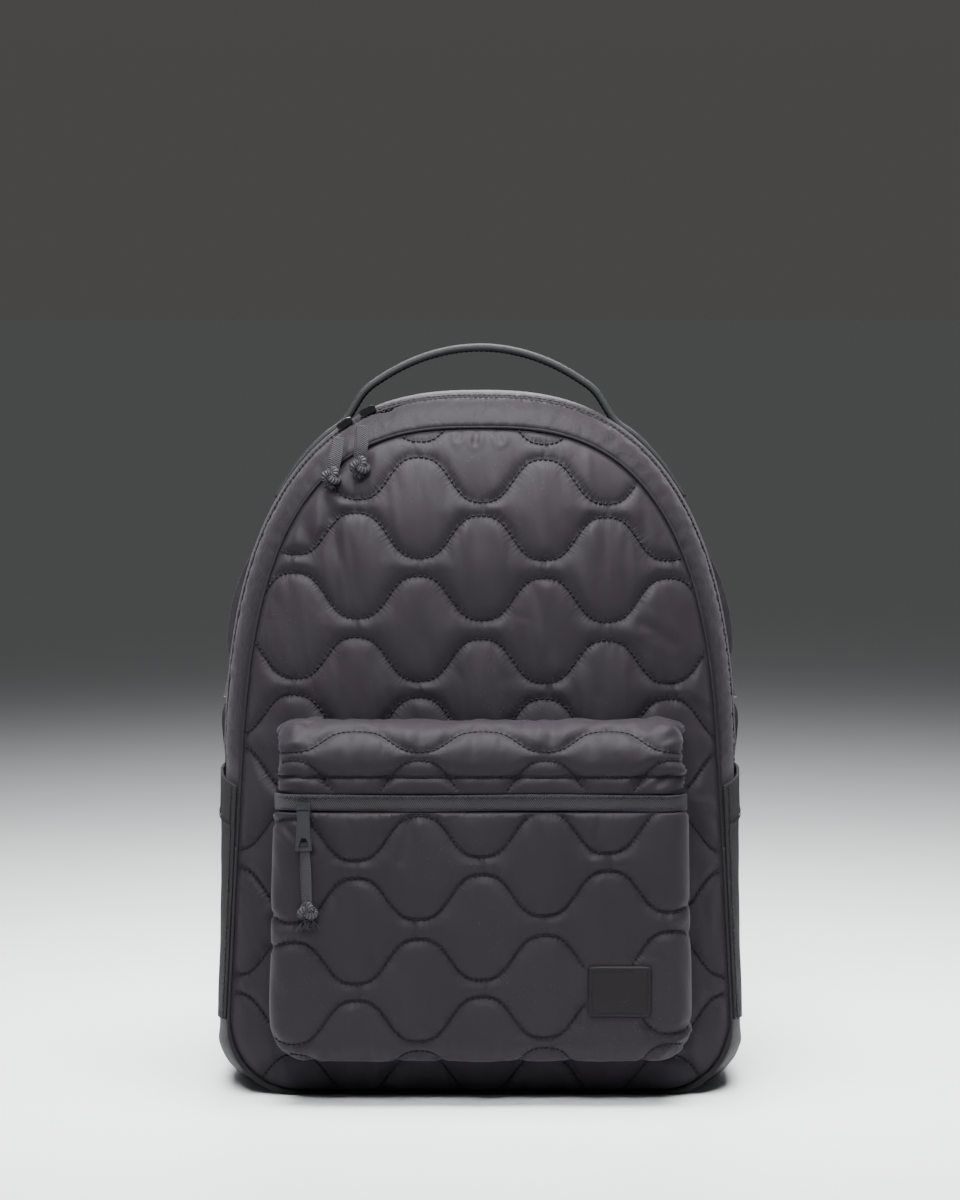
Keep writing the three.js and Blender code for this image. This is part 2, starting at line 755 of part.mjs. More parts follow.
// The pocket's side: a strip from the front panel to the front piece, round the base and up both
// sides. Above the zip band its front edge follows the end of the top piece.
const sideStart = pocketLoop.findIndex((p) => p.z >= pocketTop - topCorner - 1);
const sideLine = stepAlong(
  [
    ...pocketLoop.filter((p, i) => i > pocketLoop.length / 2 && p.z < pocketTop - topCorner + 2),
    ...pocketLoop.filter((p, i) => i <= sideStart && i < pocketLoop.length / 2),
  ],
  14,
);
const sideFront = (p) => {
  const below = pocketFlat + pocketWall + seamGap;
  if (p.z <= bandFoot) return below;
  const along = clamp((pocketTop - p.z) / (pocketTop - bandFoot), 0, 1);
  const rear = panelFace(p) - 2 * seamGap;
  return lerp(rear - 6, below, smooth(along * 1.6));
};
addSweep(
  "pocket_side",
  "nylon",
  sideLine.map((p, i) => {
    const a = sideLine[Math.max(0, i - 1)];
    const b = sideLine[Math.min(sideLine.length - 1, i + 1)];
    const length = Math.hypot(b.x - a.x, b.z - a.z);
    const [nx, nz] = [(b.z - a.z) / length, -(b.x - a.x) / length];
    const rear = panelFace(p) - 2 * seamGap;
    const at = (t, sink) => {
      const puffed = 2 * 4 * t * (1 - t) - sink;
      return v3(p.x + nx * puffed, lerp(rear, sideFront(p), t), p.z + nz * puffed);
    };
    const shares = [0, 0.5, 1];
    return [
      ...shares.map((t) => at(t, sideInset)),
      ...[...shares].reverse().map((t) => at(t, sideInset + sideWall)),
    ];
  }),
);

// The zip band and the zip tape behind it run across the front piece and roll back at each end.
function acrossFront({ inset, low, high, sink, wall, steps }) {
  return spread(steps).map((t) => {
    const reach = pocketHalf(bandFoot) - inset;
    const x = pocketShift + Math.sin(((2 * t - 1) * Math.PI) / 2) * reach;
    const y = pocketFlat - pocketRoll * rollShape(reach + inset - Math.abs(x - pocketShift)) + sink;
    return [v3(x, y, high), v3(x, y, low), v3(x, y + wall, low), v3(x, y + wall, high)];
  });
}
addSweep(
  "pocket_band",
  "webbing",
  acrossFront({
    inset: 0.6,
    low: bandFoot,
    high: bandFoot + bandHeight,
    sink: -0.5,
    wall: bandWall,
    steps: 26,
  }),
);
addSweep(
  "pocket_zip_tape",
  "webbing",
  acrossFront({
    inset: pocketRoll + 3,
    low: bandFoot - 10,
    high: bandFoot + 5,
    sink: pocketWall + 4 * seamGap,
    wall: pocketZipTape,
    steps: 6,
  }),
);

// Flat and padded strips along a path. across gives the direction of their width.
const flatSection = [
  [1, 1],
  [-1, 1],
  [-1, -1],
  [1, -1],
];
const softSection = [
  [1, 0.3],
  [0.72, 1],
  [-0.72, 1],
  [-1, 0.3],
  [-1, -0.3],
  [-0.72, -1],
  [0.72, -1],
  [1, -0.3],
];
function addStrip(name, material, path, { across, width, wall, section = flatSection, scale }) {
  const rings = path.map((p, i) => {
    const along = path[Math.min(i + 1, path.length - 1)]
      .clone()
      .sub(path[Math.max(i - 1, 0)])
      .normalize();
    const side = across(i / (path.length - 1), p).clone();
    side.addScaledVector(along, -side.dot(along)).normalize();
    const normal = along.clone().cross(side);
    const { wide = 1, thick = 1 } = scale ? scale(i / (path.length - 1)) : {};
    return section.map(([u, v]) =>
      p
        .clone()
        .addScaledVector(side, (u * wide * width) / 2)
        .addScaledVector(normal, (v * thick * wall) / 2),
    );
  });
  return addSweep(name, material, rings);
}
const smoothPath = (points, steps) => new THREE.CatmullRomCurve3(points).getPoints(steps);
const sideways = () => v3(1, 0, 0);

// Binding tape on the margin of the front or the back panel, from its seam inwards.
function addPiping(name, seam, low, high) {
  const rings = fullLoop(seam, halfSteps).map((p) => {
    const place = (out, y) => v3(p.x + p.nx * out, p.y + y, p.z + p.nz * out);
    return [place(0, low), place(-pipingWidth, low), place(-pipingWidth, high), place(0, high)];
  });
  addSweep(name, "webbing", rings, { loop: true });
}

addPiping("front_piping", seams.front, -seamGap - pipingWall, -seamGap);
const backSkin = 2 * seamGap + clothWall;
addPiping("back_piping", seams.back, backSkin, backSkin + pipingWall);

// The back panel, padded except at its edge.
const backRim = fullLoop(seams.back, halfSteps);
const backRise = (p) => smooth((distanceToLine(p, backRim, true) - pipingWidth) / backPadEdge);
const backFace = (p) => seamDepth(seams.back, p.z) + seamGap + clothWall + backPad * backRise(p);
const backCoarse = lattice(
  { left: -bodyWidth / 2, right: bodyWidth / 2, low: 0, high: bodyHeight },
  coarseStep,
  (p) => inside(p, backRim) && distanceToLine(p, backRim, true) > coarseStep * 0.6,
);
addSheet("back_panel", "mesh", {
  rim: backRim,
  frontPoints: backCoarse,
  backPoints: [
    ...rimInside(backRim, pipingWidth + 0.5),
    ...stepAlong(rimInside(backRim, backPadEdge / 2), 30, true),
    ...backCoarse.filter((p) => distanceToLine(p, backRim, true) > backPadEdge * 0.8),
  ],
  front: (p) => seamDepth(seams.back, p.z) + seamGap,
  back: backFace,
});

// Side pockets: a sleeve that stands a little off the gusset at its mouth.
const sleeveStops = spread(12).map((t) =>
  lerp(atHeight(sidePocketFoot), atHeight(sidePocketTop), t),
);
const sleeveShares = [...flapAcross.slice(1), zipShare, ...rearAcross.slice(0, -1)];
for (const [side, sign] of [
  ["left", -1],
  ["right", 1],
]) {
  addSweep(
    `side_pocket_${side}`,
    "canvas",
    sleeveStops.map((at) => {
      const height = onSeam(seams.zip, at).z;
      const hem = height > sidePocketTop - sidePocketHem ? hemWall : sidePocketWall;
      const open = smooth((height - sidePocketTop * 0.55) / (sidePocketTop * 0.45));
      const stand = (across) =>
        seamGap + mouthBulge * open * Math.sqrt(Math.max(0, 1 - ((across - 0.5) / 0.4) ** 2));
      return [
        ...sleeveShares.map((t) => onGusset(sign * at, t, stand(t) + hem, false)),
        ...[...sleeveShares].reverse().map((t) => onGusset(sign * at, t, stand(t), false)),
      ];
    }),
  );
}

// The carry handle: a strap that arches over the top, with its feet sewn along the gusset.
const handleAt = (share) => share * handleSpan;
function topPlace(x, out) {
  const { line, reach } = seams.zip;
  const i = line.findIndex((p, k) => k > line.length / 2 && p.x <= Math.abs(x));
  const t = (Math.abs(x) - line[i - 1].x) / (line[i].x - line[i - 1].x);
  const at = lerp(reach[i - 1], reach[i], t) / reach.at(-1);
  return onGusset(x < 0 ? -at : at, handleDepthShare, out);
}
const handleSpot = handleWall / 2 + seamGap + handleLift;
const handleFeet = (sign) =>
  spread(5).map((t) => {
    const out = handleSpan / 2 + handleFoot * handleSewn * (1 - t);
    return topPlace(sign * out, handleSpot * handlePress);
  });
const handleArch = spread(16)
  .slice(1, -1)
  .map((t) => {
    const x = handleAt(t - 0.5);
    const base = topPlace(x, 0);
    const foot = topPlace(handleSpan / 2, handleSpot).z;
    const apex = bodyHeight + handleRise - handleWall / 2;
    const lift = Math.pow(Math.sin(Math.PI * t), handleSpring);
    return v3(x, base.y, Math.max(lerp(foot, apex, lift), base.z + handleSpot));
  });
const handlePath = [...handleFeet(-1), ...handleArch, ...handleFeet(1).reverse()];
addStrip("carry_handle", "webbing", handlePath, {
  across: () => v3(0, 1, 0),
  width: handleWidth,
  wall: handleWall,
  section: softSection,
  scale: (t) => ({ thick: lerp(0.5, 1, smooth(Math.min(t, 1 - t) / 0.2)) }),
});

// Shoulder straps. Each row is a place down the pad: how far out from the middle, as a share of
// half the body's width; how far it stands off the back, as a share of the strap's bow.
const padRows = [
  { down: 0.0, out: 0.24, off: 0.0, wide: 0.8 },
  { down: 0.14, out: 0.36, off: 0.55, wide: 0.95 },
  { down: 0.34, out: 0.56, off: 0.95, wide: 1.0 },
  { down: 0.58, out: 0.74, off: 1.0, wide: 1.0 },
  { down: 0.8, out: 0.84, off: 0.85, wide: 0.9 },
  { down: 1.0, out: 0.89, off: 0.62, wide: 0.62 },
];
const rowAt = (rows, t) => {
  const place = clamp(t, 0, 1) * (rows.length - 1);
  const i = Math.min(Math.floor(place), rows.length - 2);
  const k = smooth(place - i) * 0.3 + (place - i) * 0.7;
  const mix = (key) => lerp(rows[i][key], rows[i + 1][key], k);
  return { down: mix("down"), out: mix("out"), off: mix("off"), wide: mix("wide") };
};
for (const [side, sign] of [
  ["left", -1],
  ["right", 1],
]) {
  const place = (t) => {
    const row = rowAt(padRows, t);
    const x = (sign * row.out * bodyWidth) / 2;
    const z = lerp(strapTop, strapEnd, row.down);
    const y = backFace({ x: x * 0.6, z: z - 15 }) + seamGap + strapWall / 2 - padSettle + strapBow * row.off;
    return v3(x, y, z);
  };
  const padPath = spread(18).map((t) => place(t));
  addStrip(`strap_pad_${side}`, "nylon", padPath, {
    across: sideways,
    width: strapWidth,
    wall: strapWall,
    section: softSection,
    scale: (t) => ({
      wide: rowAt(padRows, t).wide,
      thick: lerp(0.45, 1, smooth(Math.min(t, 1 - t) / 0.12)),
    }),
  });

  // The ladder lock hangs at the pad's end, and the webbing runs from it down to the side seam.
  const end = padPath.at(-1);
  const slope = end.clone().sub(padPath.at(-2)).normalize();
  const lock = new THREE.Shape();
  const [w, h] = [lockWidth / 2, lockHeight / 2];
  lock.setFromPoints([
    new THREE.Vector2(-w, h),
    new THREE.Vector2(-w * 0.9, -h),
    new THREE.Vector2(w * 0.9, -h),
    new THREE.Vector2(w, h),
  ]);
  const slotHeight = (lockHeight - 3 * lockBar) / 2;
  for (const up of [1, -1]) {
    const middle = (up * (slotHeight + lockBar)) / 2;
    const half = (webWidth / 2) * (up > 0 ? 1.05 : 1);
    const slot = new THREE.Path();
    slot.setFromPoints([
      new THREE.Vector2(-half, middle - slotHeight / 2),
      new THREE.Vector2(-half, middle + slotHeight / 2),
      new THREE.Vector2(half, middle + slotHeight / 2),
      new THREE.Vector2(half, middle - slotHeight / 2),
    ]);
    lock.holes.push(slot);
  }
  const lockBody = new THREE.ExtrudeGeometry(lock, { depth: lockWall, bevelEnabled: false });
  lockBody.translate(0, 0, -lockWall / 2);
  const lockMesh = new THREE.Mesh(lockBody, materials.plastic);
  lockMesh.name = `ladder_lock_${side}`;
  const frame = new THREE.Matrix4();
  const down = slope.clone().negate();
  const facing = v3(1, 0, 0).cross(down).normalize();
  const right = down.clone().cross(facing).normalize();
  frame.makeBasis(right, down, facing);
  lockMesh.quaternion.setFromRotationMatrix(frame);
  lockMesh.position.copy(end).addScaledVector(slope, lockHeight / 2 + seamGap);
  pack.add(lockMesh);

  const webStart = end.clone().addScaledVector(slope, lockHeight + lockPlay);
  const anchorX = (sign * (bodyWidth - webWidth)) / 2 - sign * 12;
  const anchor = v3(
    anchorX,
    backFace({ x: anchorX - sign * webWidth, z: anchorHeight }) + seamGap + webWall / 2,
    anchorHeight,
  );
  const between = (across, back, down) =>
    v3(
      lerp(webStart.x, anchor.x, across),
      lerp(webStart.y, anchor.y, back),
      lerp(webStart.z, anchor.z, down),
    );
  const webPath = smoothPath(
    [
      webStart,
      webStart.clone().addScaledVector(slope, webLead),
      between(0.3, 0.35, 0.4),
      between(0.7, 0.85, 0.78),
      anchor,
    ],
    16,
  );
  addStrip(`strap_web_${side}`, "webbing", webPath, {
    across: sideways,
    width: webWidth,
    wall: webWall,
  });
}

// Zip sliders, with a knotted tape pull on each.
function addSlider(name, at, across, out) {
  const middle = onGusset(at, across, out);
  const ahead = onGusset(at + 0.004, across, out).sub(onGusset(at - 0.004, across, out)).normalize();
  const path = spread(5).map((t) => middle.clone().addScaledVector(ahead, (t - 0.5) * sliderLength));
  addStrip(name, "metal", path, {
    across: () => v3(0, 1, 0),
    width: sliderWidth,
    wall: sliderHeight,
    scale: (t) => ({ wide: lerp(1, sliderNose, t), thick: t < 0.15 || t > 0.85 ? 0.6 : 1 }),
  });
  return middle;
}
function addPull(name, path, across) {
  addStrip(name, "webbing", path, {
    across,
    width: tapeWidth,
    wall: tapeWall,
    section: softSection,
    scale: (t) => {
      const knot = Math.exp(-(((t - 0.84) / 0.075) ** 2));
      return { wide: lerp(1, knotWidth / tapeWidth, knot), thick: lerp(1, 2.6, knot) };
    },
  });
}
const overPanel = (x, z) => v3(x, panelFace({ x, z }) - puffHeight - pullStand, z);
for (const [place, step, x, reach] of pullPlaces) {
  const at = sliderAt + step;
  addSlider(`main_slider_${place}`, at, zipShare, sliderHeight / 2 + sliderLift);
  const start = onGusset(at, zipShare - 0.055, 3.4);
  const path = smoothPath(
    [
      start,
      onGusset(at, 0.12, 3.2),
      onGusset(at, 0, 3.4).add(v3(0, -panelWall - 4, 0)),
      overPanel(lerp(onGusset(at, 0).x, x, 0.5), pullTurn),
      overPanel(x, pullLie),
      overPanel(x, reach),
    ],
    16,
  );
  addPull(`main_pull_${place}`, path, () => v3(0.75, 0.1, 0.6));
}

// The pocket zip's slider, its metal puller and the tape knotted through it.
const pullX = pocketPullAcross;
const pullY = pocketFaceAt({ x: pullX, z: bandFoot - 12 });
const slider = new THREE.Mesh(
  new THREE.BoxGeometry(sliderWidth, sliderHeight, sliderLength * 0.9),
  materials.metal,
);
slider.name = "pocket_slider";
const bandFace = pocketFlat - pocketRoll * rollShape(pocketHalf(bandFoot) - Math.abs(pullX - pocketShift));
const underSlider = [-0.5, 0, 0.5].map((share) =>
  pocketFaceAt({ x: pullX + share * sliderWidth, z: bandFoot - 3 }),
);
const sliderSeat = Math.min(bandFace - 0.5, ...underSlider);
slider.position.set(pullX, sliderSeat - 2 * seamGap - sliderHeight / 2, bandFoot + 1.5);
pack.add(slider);
const frameShape = new THREE.Shape();
const [fw, fl] = [pullerWidth / 2, pullerLength / 2];
frameShape.setFromPoints([
  new THREE.Vector2(-fw * 0.7, fl),
  new THREE.Vector2(-fw, -fl),
  new THREE.Vector2(fw, -fl),
  new THREE.Vector2(fw * 0.7, fl),
]);
const frameHole = new THREE.Path();
frameHole.setFromPoints([
  new THREE.Vector2(-fw * 0.7 + pullerBar, -fl * 0.35),
  new THREE.Vector2(fw * 0.7 - pullerBar, -fl * 0.35),
  new THREE.Vector2(fw - pullerBar, -fl + pullerBar),
  new THREE.Vector2(-fw + pullerBar, -fl + pullerBar),
]);
frameShape.holes.push(frameHole);
const puller = new THREE.Mesh(
  new THREE.ExtrudeGeometry(frameShape, { depth: pullerWire, bevelEnabled: false }).rotateX(Math.PI / 2),
  materials.metal,
);
puller.name = "pocket_puller";
const pullerFace = Math.min(slider.position.y - sliderHeight / 2, pullY) - seamGap;
puller.position.set(pullX, pullerFace, bandFoot - pullerLength / 2 + 1);
pack.add(puller);
const tapeTop = bandFoot - pullerLength + 1 - seamGap;
const pocketPullPath = smoothPath(
  [
    v3(pullX, pullerFace - pullerWire / 2, tapeTop),
    ...pocketPullRows.map((row) => {
      const z = tapeTop - row.down;
      return v3(pullX + row.across, pocketFaceAt({ x: pullX, z }) - row.off, z);
    }),
  ],
  16,
);
addPull("pocket_pull", pocketPullPath, sideways);

// The whole pack stands on the floor with its middle over the origin.
const extent = new THREE.Box3().setFromObject(pack, true);
const middle = extent.getCenter(new THREE.Vector3());
pack.position.set(-middle.x, -middle.y, -extent.min.z);

export default root;
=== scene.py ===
# %% [markdown]
# # A quilted puffer backpack, dressed in Blender
#
# The imported frame holds every piece of the pack as a plain solid of the right size. This lesson
# makes the cloth, thread, tape, leather and metal that are seen, and lays each on its solid. The
# frame is loaded first, and its box is kept, so that the dressed pack's size can be set beside it.

# %% Load the frame
import math
import time

import bpy
import numpy as np
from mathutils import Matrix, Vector
from mathutils.geometry import delaunay_2d_cdt
from mathutils.kdtree import KDTree


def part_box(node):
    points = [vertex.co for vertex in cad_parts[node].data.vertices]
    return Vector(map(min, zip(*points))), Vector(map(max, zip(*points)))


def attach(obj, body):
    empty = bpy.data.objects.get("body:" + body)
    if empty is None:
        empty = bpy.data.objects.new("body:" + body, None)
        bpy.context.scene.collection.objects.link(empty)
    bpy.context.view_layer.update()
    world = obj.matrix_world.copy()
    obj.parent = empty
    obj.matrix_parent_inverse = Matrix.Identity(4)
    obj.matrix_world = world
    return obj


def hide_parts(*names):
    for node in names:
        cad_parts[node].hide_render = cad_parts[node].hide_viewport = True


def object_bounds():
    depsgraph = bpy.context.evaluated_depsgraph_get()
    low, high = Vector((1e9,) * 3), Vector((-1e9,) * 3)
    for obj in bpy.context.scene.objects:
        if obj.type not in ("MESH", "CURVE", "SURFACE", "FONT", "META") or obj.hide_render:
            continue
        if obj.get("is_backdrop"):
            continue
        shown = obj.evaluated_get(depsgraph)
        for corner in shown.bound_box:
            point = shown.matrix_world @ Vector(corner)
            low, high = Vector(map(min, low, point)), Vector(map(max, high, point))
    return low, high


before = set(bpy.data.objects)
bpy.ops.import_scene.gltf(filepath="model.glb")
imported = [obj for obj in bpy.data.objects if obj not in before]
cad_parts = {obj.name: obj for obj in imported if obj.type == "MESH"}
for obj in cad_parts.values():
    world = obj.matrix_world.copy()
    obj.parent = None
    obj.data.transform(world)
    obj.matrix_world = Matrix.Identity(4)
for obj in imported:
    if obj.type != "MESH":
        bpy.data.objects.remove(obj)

frame_box = [list(corner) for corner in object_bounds()]
print("frame box in metres:", frame_box)

# %% [markdown]
# ## Sizes
#
# Working in millimetres keeps the numbers close to what a sewing pattern says. The frame is in
# metres and centres the pack on the floor, so the solids sit a little behind the place where the
# pattern has its middle. That shift is read from the base strip and not typed.

# %% Units and the pattern's place in the frame
mm = 0.001
back_edge = 58.0
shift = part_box("base_gusset")[1].y / mm - back_edge
print("the pattern's middle lies", round(shift, 2), "mm behind the frame's")

# %% [markdown]
# ## Nets of nodes
#
# The sky and every material in Blender is a small net of nodes. Effects that several cloths share
# are built once as node groups, so that a weave or a crease can be placed in any material with
# its own values. A few helpers keep the nets readable: one adds a node and plugs its inputs, one
# does a sum, one starts a group and one places it.

# %% Helpers for node nets
def add_node(tree, kind, inputs=None, **settings):
    node = tree.nodes.new("ShaderNode" + kind)
    for name, value in settings.items():
        setattr(node, name, value)
    for name, value in (inputs or {}).items():
        socket = node.inputs[name]
        if isinstance(value, bpy.types.NodeSocket):
            tree.links.new(value, socket)
        else:
            socket.default_value = value
    return node


def sum_up(tree, operation, *values):
    inputs = dict(enumerate(values))
    return add_node(tree, "Math", inputs, operation=operation).outputs[0]


def start_group(name, inputs, outputs):
    tree = bpy.data.node_groups.new(name, "ShaderNodeTree")
    for label, value in inputs.items():
        kind = "NodeSocketVector" if value is None else "NodeSocketFloat"
        socket = tree.interface.new_socket(label, in_out="INPUT", socket_type=kind)
        if value is not None:
            socket.default_value = value
    for label in outputs:
        tree.interface.new_socket(label, in_out="OUTPUT", socket_type="NodeSocketFloat")
    given = tree.nodes.new("NodeGroupInput").outputs
    result = tree.nodes.new("NodeGroupOutput").inputs
    return tree, given, result


def use_group(tree, group, inputs):
    node = add_node(tree, "Group", node_tree=group)
    for name, value in inputs.items():
        if isinstance(value, bpy.types.NodeSocket):
            tree.links.new(value, node.inputs[name])
        else:
            node.inputs[name].default_value = value
    return node.outputs


print("node helpers ready")

# %% [markdown]
# ## Camera and light
#
# A product photograph is taken from far away with a long lens, so the pack keeps its
# proportions. The camera stands a little above the pack and looks slightly down. Soft light
# comes from a wide panel overhead, a narrow one aimed at the upper half and one behind, which
# lets the satin cloth show its folds without hard glints.

# %% Place the camera
camera_distance, camera_tilt, camera_target = 2.5, math.radians(4.5), 0.2885
camera_lens, camera_film = 125, 36


def aim(thing, place, target):
    thing.location = place
    thing.rotation_euler = (Vector(target) - Vector(place)).to_track_quat("-Z", "Y").to_euler()


camera = bpy.data.objects.new("camera", bpy.data.cameras.new("camera"))
camera.data.lens, camera.data.sensor_width = camera_lens, camera_film
bpy.context.scene.collection.objects.link(camera)
bpy.context.scene.camera = camera
look_at = (0, shift * mm, camera_target)
aim(
    camera,
    (
        0,
        look_at[1] - camera_distance * math.cos(camera_tilt),
        look_at[2] + camera_distance * math.sin(camera_tilt),
    ),
    look_at,
)
print("camera at", [round(value, 3) for value in camera.location])


# %% Hang the lights
def soft_panel(name, place, size, power, target=(0, 0, 0.22), spread=180):
    lamp = bpy.data.lights.new(name, "AREA")
    lamp.shape, lamp.size, lamp.size_y = "RECTANGLE", size[0], size[1]
    lamp.energy, lamp.spread = power, math.radians(spread)
    panel = bpy.data.objects.new(name, lamp)
    bpy.context.scene.collection.objects.link(panel)
    aim(panel, place, target)
    return panel


soft_panel("overhead_light", (0.0, -0.2, 1.5), (1.4, 0.8), 40, spread=100)
soft_panel("upper_light", (-0.15, -1.1, 1.3), (0.8, 0.5), 4.8, target=(0, -0.05, 0.45), spread=44)
soft_panel("rear_light", (0.0, 1.7, 1.1), (1.2, 0.8), 3.6, target=(0, 0.1, 0.25), spread=48)
print("3 soft panels")

# %% [markdown]
# The sky is a dim grey that grows a little lighter on the way up, and fills the shadows. The floor
# is a wide plain sheet that runs past the horizon. It is marked as the stage, which keeps it out
# of the part.

# %% Sky and floor
world = bpy.data.worlds.new("studio")
bpy.context.scene.world = world
world.use_nodes = True
sky = world.node_tree.nodes["Background"]
direction = add_node(world.node_tree, "TexCoord").outputs["Generated"]
height = add_node(world.node_tree, "SeparateXYZ", {"Vector": direction}).outputs["Z"]
lift = add_node(world.node_tree, "MapRange", {"Value": height, "From Min": 0.05, "From Max": 0.6})
low_sky, high_sky = (0.07, 0.069, 0.067, 1), (0.1, 0.1, 0.1, 1)
mixed = add_node(
    world.node_tree, "Mix", {0: lift.outputs[0], 6: low_sky, 7: high_sky}, data_type="RGBA"
)
world.node_tree.links.new(mixed.outputs[2], sky.inputs["Color"])

floor_size = 40
floor_mesh = bpy.data.meshes.new("floor")
corners = [(x * floor_size, y * floor_size, 0) for x, y in ((-1, -1), (1, -1), (1, 1), (-1, 1))]
floor_mesh.from_pydata(corners, [], [(0, 1, 2, 3)])
floor = bpy.data.objects.new("floor", floor_mesh)
bpy.context.scene.collection.objects.link(floor)
floor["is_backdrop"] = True
print("floor", 2 * floor_size, "m wide")

# %% [markdown]
# A plain weave is made of two sets of threads that pass over each other in turn. Every sewn
# piece carries its flat pattern in an attribute called thread, in millimetres, so the threads
# follow the cloth round its bends. Where the sines of the two directions agree, the warp lies on
# top, and elsewhere the weft does.

# %% Group: plain weave
weave, given, result = start_group("Plain weave", {"Thread": None, "Pitch": 1.0}, ["Height"])
parts = add_node(weave, "SeparateXYZ", {"Vector": given["Thread"]}).outputs
turns = sum_up(weave, "DIVIDE", math.pi, given["Pitch"])
warp = sum_up(weave, "SINE", sum_up(weave, "MULTIPLY", parts["X"], turns))
weft = sum_up(weave, "SINE", sum_up(weave, "MULTIPLY", parts["Y"], turns))
on_top = sum_up(weave, "GREATER_THAN", sum_up(weave, "MULTIPLY", warp, weft), 0.0)
raised = add_node(
    weave,
    "Mix",
    {0: on_top, 2: sum_up(weave, "ABSOLUTE", weft), 3: sum_up(weave, "ABSOLUTE", warp)},
)
weave.links.new(raised.outputs[0], result["Height"])
print("plain weave:", len(weave.nodes), "nodes")

# %% [markdown]
# Webbing and grosgrain tape have ribs: thick cords of weft, each wrapped by fine warp. A rib is
# the height of half a sine, and the next rib's threads are set half a step over, which gives the
# slanting look of twill on the band and the handle.

# %% Group: ribs of webbing and tape
ribs, given, result = start_group(
    "Webbing ribs", {"Thread": None, "Pitch": 1.4, "Twill": 0.5}, ["Height", "Shadow"]
)
parts = add_node(ribs, "SeparateXYZ", {"Vector": given["Thread"]}).outputs
slant = sum_up(ribs, "MULTIPLY_ADD", parts["Y"], given["Twill"], parts["X"])
turns = sum_up(ribs, "DIVIDE", math.pi, given["Pitch"])
cord_of_weft = sum_up(ribs, "ABSOLUTE", sum_up(ribs, "SINE", sum_up(ribs, "MULTIPLY", slant, turns)))
wrap = sum_up(ribs, "ABSOLUTE", sum_up(ribs, "SINE", sum_up(ribs, "MULTIPLY", parts["Y"], 4.5)))
ribs.links.new(sum_up(ribs, "MULTIPLY_ADD", wrap, 0.25, cord_of_weft), result["Height"])
# Painted shade: the valleys between the ribs make the Shadow output, which darkens the colour there.
painted_valley_shade = sum_up(ribs, "SUBTRACT", 1.0, cord_of_weft)
ribs.links.new(sum_up(ribs, "MULTIPLY", painted_valley_shade, 1.1), result["Shadow"])
print("webbing ribs:", len(ribs.nodes), "nodes")

# %% [markdown]
# Thin coated nylon is never flat: it holds soft dents from the filling and fine sharp creases
# from being folded. Two noises of different size make them. The ridge of the second one is
# sharpened, because a crease in coated cloth has an edge and a bump in foam does not.

# %% Group: creases
creases, given, result = start_group("Creases", {"Size": 1.0, "Sharpness": 0.5}, ["Height"])
place = add_node(creases, "TexCoord").outputs["Object"]
stretched = add_node(creases, "Mapping", {"Vector": place, "Scale": (1.0, 1.0, 0.45)})
near = sum_up(creases, "DIVIDE", 95.0, given["Size"])
far = sum_up(creases, "DIVIDE", 34.0, given["Size"])
dents = add_node(creases, "TexNoise", {"Vector": stretched.outputs[0], "Scale": far, "Detail": 2.0})
fold_inputs = {"Vector": stretched.outputs[0], "Scale": near, "Detail": 3.0, "Distortion": 1.2}
folds = add_node(creases, "TexNoise", fold_inputs)
middle = sum_up(creases, "ABSOLUTE", sum_up(creases, "SUBTRACT", folds.outputs["Fac"], 0.5))
flank = sum_up(creases, "MINIMUM", sum_up(creases, "MULTIPLY", middle, 7.0), 1.0)
edge = sum_up(creases, "SUBTRACT", 1.0, flank)
sharp = sum_up(creases, "MULTIPLY", edge, given["Sharpness"])
creases.links.new(sum_up(creases, "MULTIPLY_ADD", dents.outputs["Fac"], 1.0, sharp), result["Height"])
print("creases:", len(creases.nodes), "nodes")

# %% [markdown]
# Along a row of quilting the tight thread gathers the cloth into small puckers, one or two for
# each stitch, which fade a few millimetres away. Each quilted piece stores how far a point is
# from its nearest seam, and how far along that seam it lies. The pucker is a wave along the seam
# that dies out with the distance from it.

# %% Group: puckers along a seam
puckers, given, result = start_group(
    "Seam puckers", {"Seam": 20.0, "Along": 0.0, "Pitch": 3.1, "Reach": 5.0}, ["Height", "Shadow"]
)
wobble = add_node(
    puckers, "TexNoise", {"W": given["Along"], "Scale": 0.12, "Detail": 2.0}, noise_dimensions="1D"
)
phase = sum_up(puckers, "MULTIPLY_ADD", wobble.outputs["Fac"], 9.0, given["Along"])
per_pucker = sum_up(puckers, "DIVIDE", 6.283, given["Pitch"])
wave = sum_up(puckers, "SINE", sum_up(puckers, "MULTIPLY", phase, per_pucker))
inward = sum_up(puckers, "MULTIPLY", given["Seam"], -1.0)
faded = sum_up(puckers, "EXPONENT", sum_up(puckers, "DIVIDE", inward, given["Reach"]))
puckers.links.new(sum_up(puckers, "MULTIPLY", wave, faded), result["Height"])
# Painted shade: the Shadow output darkens the colour in the seam's groove, fading within a millimetre
# or two.
painted_groove_shade = sum_up(puckers, "EXPONENT", sum_up(puckers, "MULTIPLY", given["Seam"], -1.5))
puckers.links.new(painted_groove_shade, result["Shadow"])
print("puckers:", len(puckers.nodes), "nodes")

# %% [markdown]
# A pack that has been handled carries a little lint and rubs slightly paler in patches. Lint is
# a sparse speckle, and rubbing a broad soft mask. The material decides what each mask does.

